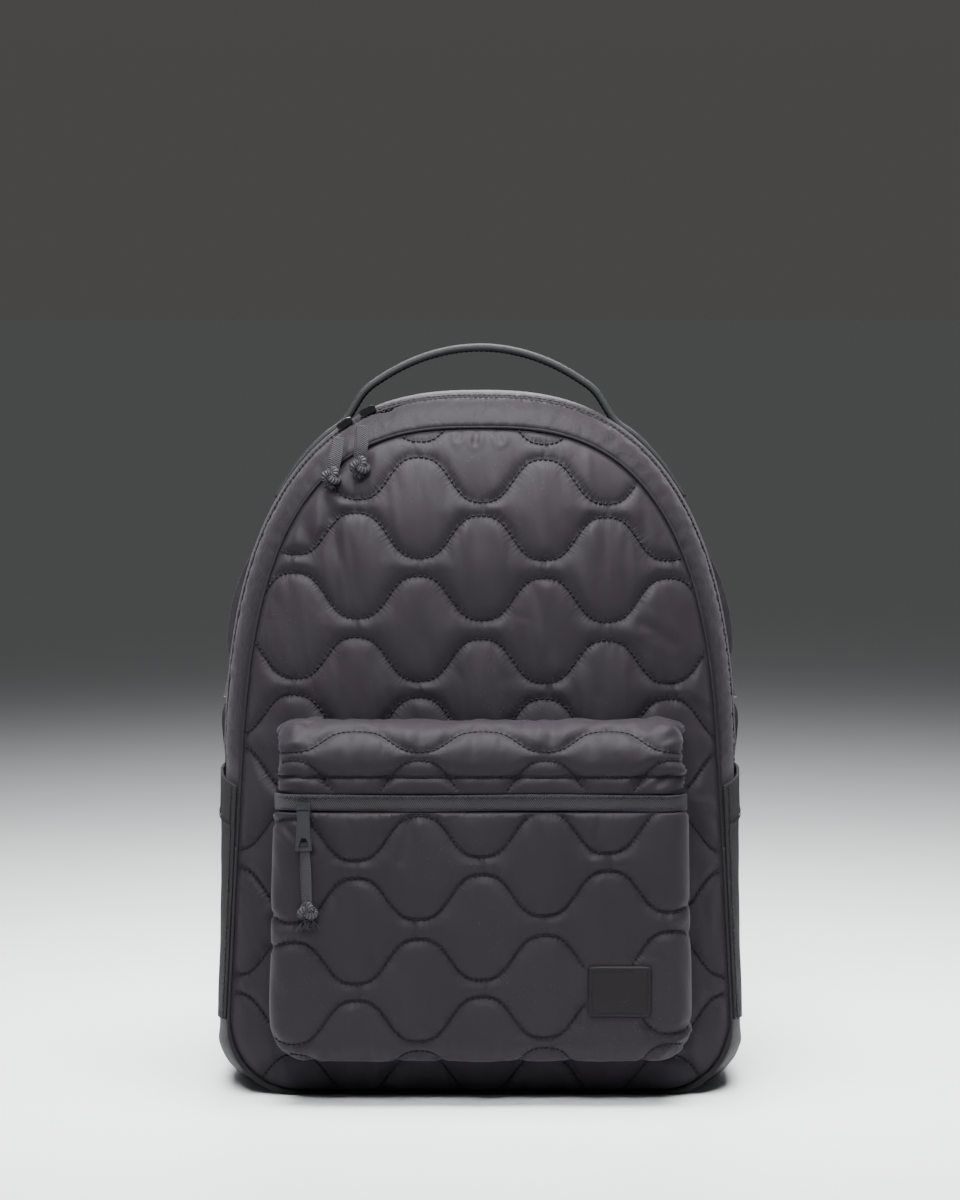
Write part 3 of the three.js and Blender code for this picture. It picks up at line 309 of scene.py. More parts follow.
# %% Group: handling
handling, given, result = start_group("Handling", {"Lint": 0.5, "Rub": 0.5}, ["Lint", "Rub"])
place = add_node(handling, "TexCoord").outputs["Object"]
speckle = add_node(handling, "TexVoronoi", {"Vector": place, "Scale": 420.0})
spread = add_node(handling, "TexNoise", {"Vector": place, "Scale": 14.0, "Detail": 4.0})
dot = sum_up(handling, "LESS_THAN", speckle.outputs["Distance"], 0.07)
where = sum_up(handling, "GREATER_THAN", spread.outputs["Fac"], 0.56)
specks = sum_up(handling, "MULTIPLY", dot, where)
handling.links.new(sum_up(handling, "MULTIPLY", specks, given["Lint"]), result["Lint"])
cloud_inputs = {"Value": spread.outputs["Fac"], "From Min": 0.35, "From Max": 0.75}
cloud = add_node(handling, "MapRange", cloud_inputs)
handling.links.new(sum_up(handling, "MULTIPLY", cloud.outputs[0], given["Rub"]), result["Rub"])
print("handling:", len(handling.nodes), "nodes")


# %% [markdown]
# The finishes share one recipe. A dark and a pale colour are mixed by the rub mask, lint is laid
# on top, and the heights of weave, creases and puckers go through one bump node each, from the
# broadest to the finest. Painted shade darkens deep places, such as the groove of a seam and the
# valleys between ribs. What is the same all over, such as sheen, is set on the shader itself. A low
# specular level keeps dark cloth dark.

# %% The recipe of a finish
# the dark colour and share of the painted shade laid into seam grooves and rib valleys
lint_colour, painted_shade_colour, painted_shade_share = (0.2, 0.2, 0.2, 1), (0.004, 0.004, 0.005, 1), 0.7
cloth_specular = 0.1


def mix_colours(tree, share, first, second):
    mixed = add_node(tree, "Mix", {0: share, 6: first, 7: second}, data_type="RGBA")
    return mixed.outputs[2]


def finish(name, dark, pale, rough, relief=(), lint=0.4, rub=0.5, **constants):
    material = bpy.data.materials.new(name)
    material.use_nodes = True
    tree = material.node_tree
    shader = tree.nodes["Principled BSDF"]
    marks = use_group(tree, handling, {"Lint": lint, "Rub": rub})
    base = mix_colours(tree, marks["Rub"], (*dark, 1), (*pale, 1))
    colour = mix_colours(tree, marks["Lint"], base, lint_colour)
    normal = None
    for make, distance, strength in relief:
        height, shadow = make(tree)
        links = {"Height": height, "Distance": distance, "Strength": strength}
        if normal:
            links["Normal"] = normal
        normal = add_node(tree, "Bump", links).outputs["Normal"]
        if shadow:
            # painted shade: where the relief gives a shadow mask, the colour is mixed towards the
            # shade colour
            depth = sum_up(tree, "MULTIPLY", shadow, painted_shade_share)
            colour = mix_colours(tree, depth, colour, painted_shade_colour)
    if normal:
        tree.links.new(normal, shader.inputs["Normal"])
    tree.links.new(colour, shader.inputs["Base Color"])
    low, high = rough
    spread = add_node(tree, "MapRange", {"Value": marks["Rub"], "To Min": low, "To Max": high})
    tree.links.new(spread.outputs[0], shader.inputs["Roughness"])
    for label, value in {"Specular_IOR_Level": cloth_specular, **constants}.items():
        shader.inputs[label.replace("_", " ")].default_value = value
    return material


def attribute(tree, name, output="Fac"):
    return add_node(tree, "Attribute", attribute_name=name).outputs[output]


def with_creases(size, sharpness):
    def make(tree):
        return use_group(tree, creases, {"Size": size, "Sharpness": sharpness})["Height"], None

    return make


def with_puckers(pitch, reach):
    def make(tree):
        seen = {"Seam": attribute(tree, "seam"), "Along": attribute(tree, "along")}
        made = use_group(tree, puckers, {**seen, "Pitch": pitch, "Reach": reach})
        return made["Height"], made["Shadow"]

    return make


def with_weave(pitch):
    def make(tree):
        thread = attribute(tree, "thread", "Vector")
        return use_group(tree, weave, {"Thread": thread, "Pitch": pitch})["Height"], None

    return make


def with_ribs(pitch, twill):
    def make(tree):
        thread = attribute(tree, "thread", "Vector")
        made = use_group(tree, ribs, {"Thread": thread, "Pitch": pitch, "Twill": twill})
        return made["Height"], made["Shadow"]

    return make


print("recipe ready")

# %% [markdown]
# Now the finishes themselves. The shell is satin nylon, nearly black with a breath of plum, and
# a soft sheen; it is made about a fifth darker than the quilted nylon, which is painted shade for
# the sides of the gusset. The sleeves are coarser canvas. Binding, band, handle and webbing are
# ribbed tape, the handle a little greener. The patch is smooth leather, the hardware dark plated
# metal.

# %% Cloth and tape finishes
fine_weave, soft_dents = (with_weave(0.5), 0.0001, 0.25), (with_creases(0.8, 0.3), 0.0012, 0.3)
sheen = {"Sheen_Weight": 0.05, "Sheen_Roughness": 0.5, "Sheen_Tint": (0.9, 0.84, 0.94, 1)}
plum, pale_plum = (0.0098, 0.0081, 0.0106), (0.0136, 0.0115, 0.0146)
quilt_nylon = finish(
    "quilted nylon",
    plum,
    pale_plum,
    (0.54, 0.66),
    [(with_creases(1.0, 0.2), 0.0010, 0.2), (with_puckers(3.1, 2.2), 0.0005, 0.3), fine_weave],
    **sheen,
)
# Painted shade: the same nylon as the quilt, about a fifth darker, so that the gusset's sides look
# shaded.
shaded_shell_nylon = finish(
    "shaded shell nylon",
    (0.0078, 0.0065, 0.0085),
    (0.011, 0.0093, 0.0118),
    (0.56, 0.68),
    [soft_dents, fine_weave],
    **sheen,
)
base_nylon = finish(
    "base nylon",
    (0.014, 0.013, 0.0145),
    (0.022, 0.02, 0.0225),
    (0.5, 0.65),
    [soft_dents, (with_weave(0.7), 0.0002, 0.4)],
)
canvas = finish(
    "sleeve canvas",
    (0.011, 0.0107, 0.0118),
    (0.018, 0.0175, 0.019),
    (0.62, 0.8),
    [(with_weave(1.1), 0.0004, 0.8)],
)
tape = finish(
    "binding tape",
    (0.008, 0.0077, 0.0085),
    (0.014, 0.0133, 0.0147),
    (0.55, 0.7),
    [(with_ribs(1.0, 0.0), 0.0003, 0.6)],
)
band_tape = finish(
    "band tape",
    (0.034, 0.0325, 0.036),
    (0.056, 0.0535, 0.058),
    (0.42, 0.56),
    [(with_ribs(1.25, 0.7), 0.0006, 1.0)],
)
handle_cloth = finish(
    "handle tape",
    (0.015, 0.0172, 0.0176),
    (0.022, 0.0252, 0.0258),
    (0.6, 0.75),
    [(with_ribs(1.2, 0.5), 0.0003, 0.6)],
)
spacer_mesh = finish(
    "spacer mesh",
    (0.028, 0.0272, 0.0294),
    (0.044, 0.0428, 0.0462),
    (0.7, 0.85),
    [(with_weave(2.6), 0.0008, 0.9)],
)
print("7 cloths")

# %% Leather, metal, plastic and thread
leather = finish(
    "patch leather",
    (0.0065, 0.0057, 0.0063),
    (0.011, 0.0098, 0.0106),
    (0.5, 0.64),
    [(with_creases(0.12, 0.5), 0.0002, 0.35)],
)
metal = finish(
    "dark metal",
    (0.055, 0.055, 0.058),
    (0.11, 0.11, 0.115),
    (0.24, 0.42),
    [(with_creases(0.15, 0.2), 0.0001, 0.15)],
    lint=0.1,
    Metallic=1.0,
)
plastic = finish(
    "moulded plastic",
    (0.016, 0.016, 0.017),
    (0.024, 0.024, 0.025),
    (0.35, 0.5),
    [(with_creases(0.1, 0.1), 0.0001, 0.2)],
    Specular_IOR_Level=0.4,
)
thread = finish(
    "sewing thread", (0.005, 0.0047, 0.0053), (0.009, 0.0085, 0.0095), (0.42, 0.55), lint=0.0
)
coil = finish("zip coil", (0.005, 0.005, 0.0055), (0.009, 0.009, 0.0095), (0.4, 0.5), lint=0.0)
print("5 hard finishes")

# %% [markdown]
# The floor gets the same recipe: a pale colour, very slightly mottled, as painted board is.

# %% Finish of the floor
paint = finish(
    "floor paint",
    (0.72, 0.735, 0.75),
    (0.76, 0.772, 0.785),
    (0.6, 0.7),
    lint=0.0,
    rub=0.4,
    Specular_IOR_Level=0.2,
)
floor_mesh.materials.append(paint)
print("floor painted")

# %% [markdown]
# ## The shape of the body
#
# The body is built between three seams: the one round the front panel, the zip, and the one
# round the back. Each is a flat base with round corners, upright sides and a dome. The dome is a
# superellipse, a curve fuller than an ellipse, and the sides draw in a little on the way up. Each
# seam leans back as it rises. A seam is worked out once, as a fine line from the middle of the
# base up to the middle of the top, and the other half is its mirror image. Every place on the
# cloth between two seams is then found from two shares: how far round, and how far across.

# %% The three seams
dome_start, lean_power = 190.0, 2.2
seam_shapes = {
    "front": dict(width=298, height=394.5, taper=0.125, corner=42, power=2.85, foot=-58.0, head=-46.0),
    "zip": dict(width=310, height=411, taper=0.06, corner=31, power=2.6, foot=-23.2, head=-19.3),
    "back": dict(width=304, height=409, taper=0.06, corner=31, power=2.6, foot=58.0, head=43.0),
}


def half_seam(width, height, taper, corner, power, **_):
    half, turn = width / 2, np.linspace(0, math.pi / 2, 300)
    bend = np.stack([half - corner + corner * np.sin(turn), corner - corner * np.cos(turn)], 1)
    climb = np.sin(turn) ** (2 / power)
    dome_z = dome_start + (height - dome_start) * climb
    dome = np.stack([half * np.abs(np.cos(turn)) ** (2 / power), dome_z], 1)
    line = np.concatenate([[[0.0, 0.0]], bend, dome])
    line[:, 0] *= 1 - taper * np.clip(line[:, 1] - corner, 0, None) / (height - corner)
    line[-1, 0] = 0
    return line


def reach_along(line):
    """How far along a line each of its points lies."""
    moves = np.diff(line, axis=0)
    steps = np.hypot(*moves.T) if moves.shape[1] == 2 else np.linalg.norm(moves, axis=1)
    return np.concatenate([[0], np.cumsum(steps)])


def walk(line, count):
    """Points spread evenly along a line, and how long it is."""
    reach = reach_along(line)
    at = np.linspace(0, reach[-1], count)
    return np.stack([np.interp(at, reach, column) for column in line.T], 1), reach[-1]


seams = {}
for name, shape in seam_shapes.items():
    line, length = walk(half_seam(**shape), 1200)
    slope = np.gradient(line, axis=0)
    slope[-12:] = (-1, 0)
    normal = np.stack([slope[:, 1], -slope[:, 0]], 1)
    normal /= np.linalg.norm(normal, axis=1, keepdims=True)
    kernel = np.ones(31) / 31
    padded = np.pad(normal, ((15, 15), (0, 0)), mode="edge")
    normal = np.stack([np.convolve(column, kernel, "valid") for column in padded.T], 1)
    normal /= np.linalg.norm(normal, axis=1, keepdims=True)
    seams[name] = dict(shape, line=line, normal=normal, length=length)
    print(name, "seam:", round(2 * length), "mm round")


# %% Places on a seam and on the gusset
def seam_depth(name, z):
    seam = seams[name]
    climb = (np.clip(z, 0, None) / seam["height"]) ** lean_power
    return seam["foot"] + (seam["head"] - seam["foot"]) * climb


def both_halves(count):
    """Shares that run once round a seam, from the base's middle and back to it."""
    return np.concatenate([np.linspace(0, 1, count // 2), np.linspace(-1, 0, count // 2)[1:-1]])


def on_seam(name, at):
    """Points and outward directions. at runs from -1 over the base's middle (0) to 1."""
    seam, at = seams[name], np.asarray(at, float)
    place = np.abs(at) * (len(seam["line"]) - 1)
    index = np.arange(len(seam["line"]))
    side = np.where(at < 0, -1.0, 1.0)
    x, z = (np.interp(place, index, column) for column in seam["line"].T)
    nx, nz = (np.interp(place, index, column) for column in seam["normal"].T)
    zero = np.zeros_like(x)
    return np.stack([x * side, seam_depth(name, z), z], -1), np.stack([nx * side, zero, nz], -1)


zip_share, lead, gusset_round = 0.3, 3.35, 2.5
gusset_width, seam_gap = 116, 0.35


def on_gusset(at, across, out=0.0):
    """Points on the strip between front (across 0), zip (0.3) and back (1) seams."""
    at, across = np.broadcast_arrays(np.asarray(at, float), np.asarray(across, float))
    first, first_out = on_seam("front", at)
    first = first + [0, lead, 0]
    middle, middle_out = on_seam("zip", at)
    last, last_out = on_seam("back", at)
    early = (across < zip_share)[..., None]
    t = np.where(early[..., 0], across / zip_share, (across - zip_share) / (1 - zip_share))[..., None]
    start, end = np.where(early, first, middle), np.where(early, middle, last)
    start_out, end_out = np.where(early, first_out, middle_out), np.where(early, middle_out, last_out)
    facing = start_out * (1 - t) + end_out * t
    facing /= np.linalg.norm(facing, axis=-1, keepdims=True)
    flat_base = np.clip(1 + np.minimum(0, facing[..., 2:]), 0, 1)
    flat_base = flat_base**2 * (3 - 2 * flat_base)
    stand = np.asarray(out, float)[..., None] + gusset_round * 4 * t * (1 - t) * flat_base
    return start * (1 - t) + end * t + facing * stand


def share_at_height(name, z):
    line = seams[name]["line"]
    return float(np.interp(z, line[:, 1], np.linspace(0, 1, len(line))))


print("zip ends at share", round(share_at_height("zip", 150), 3))

# %% [markdown]
# ## Cloth
#
# Every padded piece is made as a seamstress makes it. A flat pattern is cut, with points set
# along its edge and its sewn rows, and the rest is filled with triangles of one size. The pattern
# is laid on the body's shape, and then the cloth simulation blows it out while the sewn points
# stay where they are. The cloth is given a little more length than the body needs. That spare
# length is what turns into the small folds of a real puffer.

# %% Cut a pattern
def closed_line(line):
    return np.concatenate([line, line[:1]])


def space_out(line, step, closed=False):
    line = closed_line(np.asarray(line, float)) if closed else np.asarray(line, float)
    count = max(3, round(walk(line, 2)[1] / step) + 1)
    spaced = walk(line, count)[0]
    return spaced[:-1] if closed else spaced


def to_line(points, line):
    """The distance of each point from a line of points, and how far along it the nearest is."""
    a, b = np.asarray(line)[:-1], np.asarray(line)[1:]
    run = b - a
    reach = np.concatenate([[0], np.cumsum(np.linalg.norm(run, axis=1))])
    best, along = np.full(len(points), 1e9), np.zeros(len(points))
    for k in range(0, len(points), 1500):
        some = points[k : k + 1500, None, :]
        t = np.clip(((some - a) * run).sum(-1) / np.maximum((run**2).sum(-1), 1e-9), 0, 1)
        away = np.linalg.norm(some - a - run * t[..., None], axis=-1)
        nearest = away.argmin(1)
        rows = np.arange(len(nearest))
        best[k : k + 1500] = away[rows, nearest]
        along[k : k + 1500] = (reach[:-1] + t * np.diff(reach))[rows, nearest]
    return best, along


def is_inside(points, outline):
    x, y = points[:, 0, None], points[:, 1, None]
    a, b = outline, np.roll(outline, -1, axis=0)
    crosses = (a[:, 1] > y) != (b[:, 1] > y)
    with np.errstate(divide="ignore", invalid="ignore"):
        at = a[:, 0] + (y - a[:, 1]) * (b[:, 0] - a[:, 0]) / (b[:, 1] - a[:, 1])
    return (crosses & (x < at)).sum(1) % 2 == 1


def inside_runs(line, outline, margin):
    """The parts of a line that lie inside an outline, clear of its edge."""
    keep = is_inside(line, outline) & (to_line(line, closed_line(outline))[0] > margin)
    cuts = np.flatnonzero(np.diff(keep.astype(int))) + 1
    pieces = zip(np.split(line, cuts), np.split(keep, cuts))
    return [run for run, kept in pieces if kept[0] and len(run) > 4]


def cut(outline, rows, step, rings=()):
    """A flat pattern: points, triangles, and which points are sewn."""
    outline = space_out(outline, step, closed=True)
    fixed, edges, sewn = list(outline), [], [True] * len(outline)
    edges += [(i, (i + 1) % len(outline)) for i in range(len(outline))]
    for row in rows:
        for run in inside_runs(space_out(row, 1.0), outline, step * 0.7):
            run = space_out(run, step)
            start = len(fixed)
            fixed += list(run)
            sewn += [True] * len(run)
            edges += [(start + i, start + i + 1) for i in range(len(run) - 1)]
    for ring in rings:
        fixed += list(ring)
        sewn += [False] * len(ring)
    low, high = outline.min(0), outline.max(0)
    ranks = np.arange(low[1], high[1], step * 0.866)
    rng = np.random.default_rng(len(fixed))
    files = np.arange(low[0], high[0], step)
    fill = [(x + (k % 2) * step / 2, z) for k, z in enumerate(ranks) for x in files]
    fill = np.array(fill) + rng.uniform(-0.12, 0.12, (len(fill), 2)) * step
    tree = KDTree(len(fixed))
    for i, point in enumerate(fixed):
        tree.insert((*point, 0), i)
    tree.balance()
    free = np.array([tree.find((*point, 0))[2] > step * 0.62 for point in fill])
    fill = fill[free & is_inside(fill, outline)]
    points = [Vector(point) for point in fixed] + [Vector(point) for point in fill]
    made = delaunay_2d_cdt(points, edges, [], 0, 1e-4)
    flat = np.array([point[:] for point in made[0]])
    triangles = np.array(made[2])
    triangles = triangles[is_inside(flat[triangles].mean(1), outline)]
    is_sewn = np.array([any(i < len(sewn) and sewn[i] for i in sources) for sources in made[3]])
    return flat, triangles, is_sewn


print("pattern cutter ready")


# %% Let the cloth settle
def face_normals(points, faces):
    """Outward direction at every point, from the faces round it."""
    total = np.zeros_like(points)
    a, b, c = points[faces[:, 0]], points[faces[:, 1]], points[faces[:, 2]]
    facing = np.cross(b - a, c - a)
    for k in range(faces.shape[1]):
        np.add.at(total, faces[:, k], facing)
    return total / np.maximum(np.linalg.norm(total, axis=1, keepdims=True), 1e-9)


enlarge = 10  # the simulation is steadier on cloth ten times the size


def settle(name, points, faces, sewn, pressure, spare, frames=22, bending=0.1, stiffness=15):
    """Run the cloth on a copy of the points, with the sewn ones held."""
    began = time.time()
    mesh = bpy.data.meshes.new(name + "_cloth")
    mesh.from_pydata((points * mm * enlarge).tolist(), [], faces.tolist())
    cloth = bpy.data.objects.new(name + "_cloth", mesh)
    bpy.context.scene.collection.objects.link(cloth)
    held = cloth.vertex_groups.new(name="sewn")
    held.add([int(i) for i in np.flatnonzero(sewn)], 1.0, "REPLACE")
    modifier = cloth.modifiers.new("cloth", "CLOTH")
    fabric = modifier.settings
    fabric.quality, fabric.mass, fabric.air_damping = 5, 0.3, 1.0
    fabric.tension_stiffness = fabric.compression_stiffness = stiffness
    fabric.shear_stiffness, fabric.bending_stiffness = stiffness * 0.4, bending
    fabric.vertex_group_mass = "sewn"
    fabric.use_pressure, fabric.uniform_pressure_force = True, pressure
    fabric.shrink_min = -spare
    fabric.effector_weights.gravity = 0
    modifier.point_cache.frame_start, modifier.point_cache.frame_end = 1, frames
    for number in range(1, frames + 1):
        bpy.context.scene.frame_set(number)
    shown = cloth.evaluated_get(bpy.context.evaluated_depsgraph_get())
    settled = np.empty(len(points) * 3, np.float32)
    shown.data.vertices.foreach_get("co", settled)
    bpy.data.objects.remove(cloth)
    bpy.data.meshes.remove(mesh)
    bpy.context.scene.frame_set(1)
    settled = settled.reshape(-1, 3).astype(float) / (mm * enlarge)
    moved = np.linalg.norm(settled - points, axis=1)
    took = time.time() - began
    print(f"{name}: {len(points)} points, moved up to {moved.max():.1f} mm in {took:.1f} s")
    return settled


def limit(points, settled, most, share=1.0):
    """The cloth takes a share of its move, and no point goes further than most."""
    move = (settled - points) * share
    size = np.linalg.norm(move, axis=1, keepdims=True)
    return points + move * np.minimum(1, most / np.maximum(size, 1e-9))


print("cloth ready")


# %% [markdown]
# A piece is a mesh with a finish. It rides on the pack's one body, and where it stands for a solid
# of the frame, that solid is hidden. A sheet of cloth gets a lining behind it and a wall round
# its edge, so that it is a closed body. What the finish reads, such as the flat pattern that
# carries the weave, is stored on its points.

# %% Make a piece of the pack
def make_piece(name, points, faces, material, stands_for=(), data=None):
    mesh = bpy.data.meshes.new(name)
    place = (np.asarray(points, float) + [0, shift, 0]) * mm
    mesh.from_pydata(place.tolist(), [], [list(map(int, face)) for face in faces])
    mesh.shade_smooth()
    for key, values in (data or {}).items():
        values = np.asarray(values, np.float32)
        vector = values.ndim == 2
        layer = mesh.attributes.new(key, "FLOAT_VECTOR" if vector else "FLOAT", "POINT")
        layer.data.foreach_set("vector" if vector else "value", values.ravel())
    mesh.materials.append(material)
    piece = bpy.data.objects.new(name, mesh)
    bpy.context.scene.collection.objects.link(piece)
    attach(piece, "root")
    if stands_for:
        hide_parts(*stands_for)
    print(name, len(mesh.polygons), "faces")
    return piece


def close_behind(points, faces, back):
    """Sew a lining behind a sheet: the same triangles, turned over, on other points."""
    count = len(points)
    edges = {}
    for face in faces:
        for a, b in zip(face, np.roll(face, -1)):
            edges[(a, b)] = True
    rim = [(a, b) for a, b in edges if (b, a) not in edges]
    faces = [list(face) for face in faces]
    lining = [[i + count for i in reversed(face)] for face in faces]
    sides = [[b, a, a + count, b + count] for a, b in rim]
    return np.concatenate([points, back]), faces + lining + sides


def pattern_data(flat, **values):
    """What the finish reads from a sheet and its lining: the flat pattern, and what is given."""
    thread = np.stack([flat[:, 0], flat[:, 1], flat[:, 0] * 0], 1)
    return {"thread": np.tile(thread, (2, 1)), **{key: np.tile(at, 2) for key, at in values.items()}}


def everywhere(direction, line):
    """The same direction at every point of a line."""
    return np.tile(np.asarray(direction, float), (len(line), 1))


rightward, rearward, upward, forward = (1, 0, 0), (0, 1, 0), (0, 0, 1), (0, -1, 0)
print("piece maker ready")

# %% [markdown]
# ## The quilted front panel
#
# The panel is two layers of nylon with filling between them, held by rows of stitching. Each row
# is a wave, and every other row is turned over, so that two rows make a chain of round cells with
# narrow necks. The heights of the rows were measured on the photograph. The panel bulges in the
# middle, is flat under its binding, and is pinned there and along the rows.
#
# The cloth starts from a designed height: it climbs steeply beside a seam and is crowned between
# two. Soft noise gives it upright folds, sharp short ones gather in the necks, and a few single
# folds are set where the photograph shows them. The simulation then loosens all of it,
# and two fifths of its move is kept, because more of it blows the quilting up like a balloon.

# %% Waves and the panel's own surface
def smooth(t):
    t = np.clip(t, 0, 1)
    return t * t * (3 - 2 * t)


wave_pitch, wave_rise = 73.0, 12.6


def wave_row(height, peaks_in_middle, half_width, tilt, rise=wave_rise, centre=1.0):
    x = np.linspace(-half_width, half_width, int(half_width * 2))
    turn = 2 * math.pi * (x - centre) / wave_pitch
    shape = (np.cos(turn) - 0.08 * np.cos(3 * turn)) / 0.92
    return np.stack([x, height + tilt * x + (1 if peaks_in_middle else -1) * rise * shape], 1)


def whole_rim(name, inset=0.0, count=700):
    """The closed outline of a seam, drawn in by inset."""
    points, outward = on_seam(name, both_halves(count))
    return (points - outward * inset)[:, [0, 2]]


panel_bulge, bulge_reach, seam_margin = 18.0, 85.0, 2.4
panel_rim = whole_rim("front")
coarse_rim = closed_line(space_out(panel_rim, 4.0, closed=True))


def panel_face(points):
    room = np.clip(to_line(points, coarse_rim)[0] - seam_margin, 0, bulge_reach) / bulge_reach
    return seam_depth("front", points[:, 1]) - panel_bulge * (1 - (1 - room) ** 2.2)


def necks_between(heights, tilt, first=1):
    """Where a peak of one row comes close to a trough of the row above it."""
    found = []
    for k, (low, high) in enumerate(zip(heights[:-1], heights[1:])):
        start = 1.0 if k % 2 == first else 1.0 + wave_pitch / 2
        for x in start + wave_pitch * np.arange(-3, 3):
            found.append((x, low + tilt * x + wave_rise, high + tilt * x - wave_rise))
    return found


row_heights = [12.4, 48.0, 83.5, 122.4, 157.1, 193.5, 224.5, 259.0, 295.1, 330.7, 363.5, 397.5]
panel_rows = [wave_row(z, k % 2 == 1, 150, -0.02 * z / 394.5) for k, z in enumerate(row_heights)]
panel_necks = necks_between(row_heights, -0.01)
print(len(panel_rows), "rows of waves")

# %% Cut the panel, lay it on the body and let it settle
cloth_step = 1.7
shoulder_reach, crown_reach = 3.0, 13.0
kept_share, most_move = 0.4, 4
stitch_pitch = 3.1


def seam_data(flat, rows):
    """How far each point is from its nearest seam, and how far along that seam it lies."""
    seam, along = np.full(len(flat), 99.0), np.zeros(len(flat))
    for k, row in enumerate(rows):
        away, reach = to_line(flat, space_out(row, 2.0))
        closer = away < seam
        seam[closer], along[closer] = away[closer], reach[closer] + 1000 * k
    return seam, along


def soft_noise(flat, across, up, seed):
    """Smooth noise between -1 and 1, with bumps of the given sizes."""
    grid = np.random.default_rng(seed).uniform(-1, 1, (90, 90))
    place = flat / [across, up] + 40.0
    cell = np.clip(np.floor(place).astype(int), 0, 88)
    t = smooth(place - cell)
    i, j = cell.T
    low = grid[i, j] * (1 - t[:, 0]) + grid[i + 1, j] * t[:, 0]
    high = grid[i, j + 1] * (1 - t[:, 0]) + grid[i + 1, j + 1] * t[:, 0]
    return low * (1 - t[:, 1]) + high * t[:, 1]


def blend_distances(distances, softness=2.0):
    """One distance from several, without a ridge where two are equal."""
    total = sum(np.exp(-np.clip(away, 0, 60) / softness) for away in distances)
    return np.clip(-softness * np.log(total), 0, None)


def from_rows(flat, rows, edge):
    """One smooth distance to the nearest row or edge."""
    return blend_distances([to_line(flat, space_out(row, 2.0))[0] for row in rows] + [edge])


def filled(flat, seam, blended, shoulder, crown, folds, seed):
    """How far filled cloth stands up, from its distance to the seams round it."""
    beside = np.clip(np.minimum(seam, blended + 0.6), 0, None)
    rise = shoulder * (1 - np.exp(-((beside / shoulder_reach) ** 1.5)))
    rise = rise + crown * (1 - (1 - np.clip(blended / crown_reach, 0, 1)) ** 2)
    slanted = flat + flat[:, ::-1] * [0.12, 0.0]
    upright = soft_noise(slanted, 7.5, 30.0, seed) + 0.45 * soft_noise(slanted, 4.0, 17.0, seed + 1)
    return rise + folds * upright * smooth(seam / 6.0)


def neck_creases(flat, necks, seed):
    """Short sharp folds where two rows of waves come close."""
    rng = np.random.default_rng(seed)
    deep = np.zeros(len(flat))
    for x, low, high in necks:
        x, lean = x + rng.uniform(-3.5, 3.5), rng.uniform(-0.35, 0.35)
        middle, half = (low + high) / 2, max((high - low) / 2, 3.0) + 1.0
        away = flat[:, 0] - x - lean * (flat[:, 1] - middle)
        ends = 1 - smooth((np.abs(flat[:, 1] - middle) - half) / 3.0 + 0.5)
        fold = np.exp(-((away / 1.1) ** 2)) - 0.45 * np.exp(-(((away - 2.6) / 1.8) ** 2))
        deep += rng.uniform(0.7, 1.5) * fold * ends
    return deep


def chosen_folds(flat, folds):
    """Single folds where the photograph shows them: two ends, how deep and how wide."""
    deep = np.zeros(len(flat))
    for start, end, depth, width in folds:
        away = to_line(flat, np.array([start, end], float))[0]
        ridge_beside = np.exp(-(((away - 2.2 * width) / width) ** 2))
        deep += depth * (np.exp(-((away / width) ** 2)) - 0.5 * ridge_beside)
    return deep


def raise_cloth(points, faces, height):
    return points + face_normals(points, faces) * height[:, None]


def face_forward(points, faces):
    """Turn the triangles so that they face the front."""
    if face_normals(points, faces)[:, 1].mean() > 0:
        return faces[:, ::-1]
    return faces


margin_line = closed_line(whole_rim("front", seam_margin))
flat, faces, sewn = cut(panel_rim, [margin_line, *panel_rows], cloth_step)
panel = np.stack([flat[:, 0], panel_face(flat), flat[:, 1]], 1)
faces = face_forward(panel, faces)
seam, along = seam_data(flat, panel_rows)
room = to_line(flat, coarse_rim)[0]
near = np.minimum(seam, np.clip(room - seam_margin, 0, None))
blended = from_rows(flat, panel_rows, room - seam_margin)
height = filled(flat, near, blended, shoulder=1.75, crown=0.9, folds=0.95, seed=11)
height = height - neck_creases(flat, panel_necks, 3) * smooth(near / 3.0)
panel_folds = [
    # one end, other end, depth, width
    ((94, 279), (112, 268), 0.6, 3.2),
    ((122, 234), (137, 225), 0.8, 2.4),
    ((126, 174), (142, 171), -0.7, 2.6),
    ((-1, 396), (-3, 384), 1.1, 1.5),
    ((7, 395), (12, 385), 0.9, 1.4),
    ((-9, 395), (-13, 386), 0.9, 1.4),
    ((-92, 356), (-88, 342), 1.3, 5.0),
    ((-138, 122), (-128, 113), 0.6, 2.6),
]
height = height - chosen_folds(flat, panel_folds) * smooth(near / 3.0)
puffed = raise_cloth(panel, faces, np.where(sewn, 0, height))
blown = settle("front_panel", puffed, faces, sewn, pressure=1.2, spare=0.004, frames=8, bending=2)
settled = limit(puffed, blown, most_move, share=kept_share)
points, closed = close_behind(settled, faces, panel + [0, 2.5, 0])
data = pattern_data(flat, seam=seam, along=along)
quilted_front = make_piece("quilted_front", points, closed, quilt_nylon, ["front_panel"], data)
panel_cloth = settled

# %% [markdown]
# ## Stitches
#
# Quilting thread is thick enough to see. Each stitch is a small capsule that bows out of the
# cloth and dips back into it at both ends. All the stitches of a piece are joined in one mesh.
# A zigzag seam is the same, with stitches that cross from side to side.

# %% Make stitches
def ring_faces(rings, sides, closed=False):
    """The faces of a tube of rings, with a cap at either end unless the last joins the first."""
    faces = []
    for k in range(rings if closed else rings - 1):
        low, high = k * sides, (k + 1) % rings * sides
        for i in range(sides):
            j = (i + 1) % sides
            faces.append((low + i, low + j, high + j, high + i))
    if not closed:
        faces += [tuple(range(sides))[::-1], tuple(range(sides * (rings - 1), sides * rings))]
    return faces


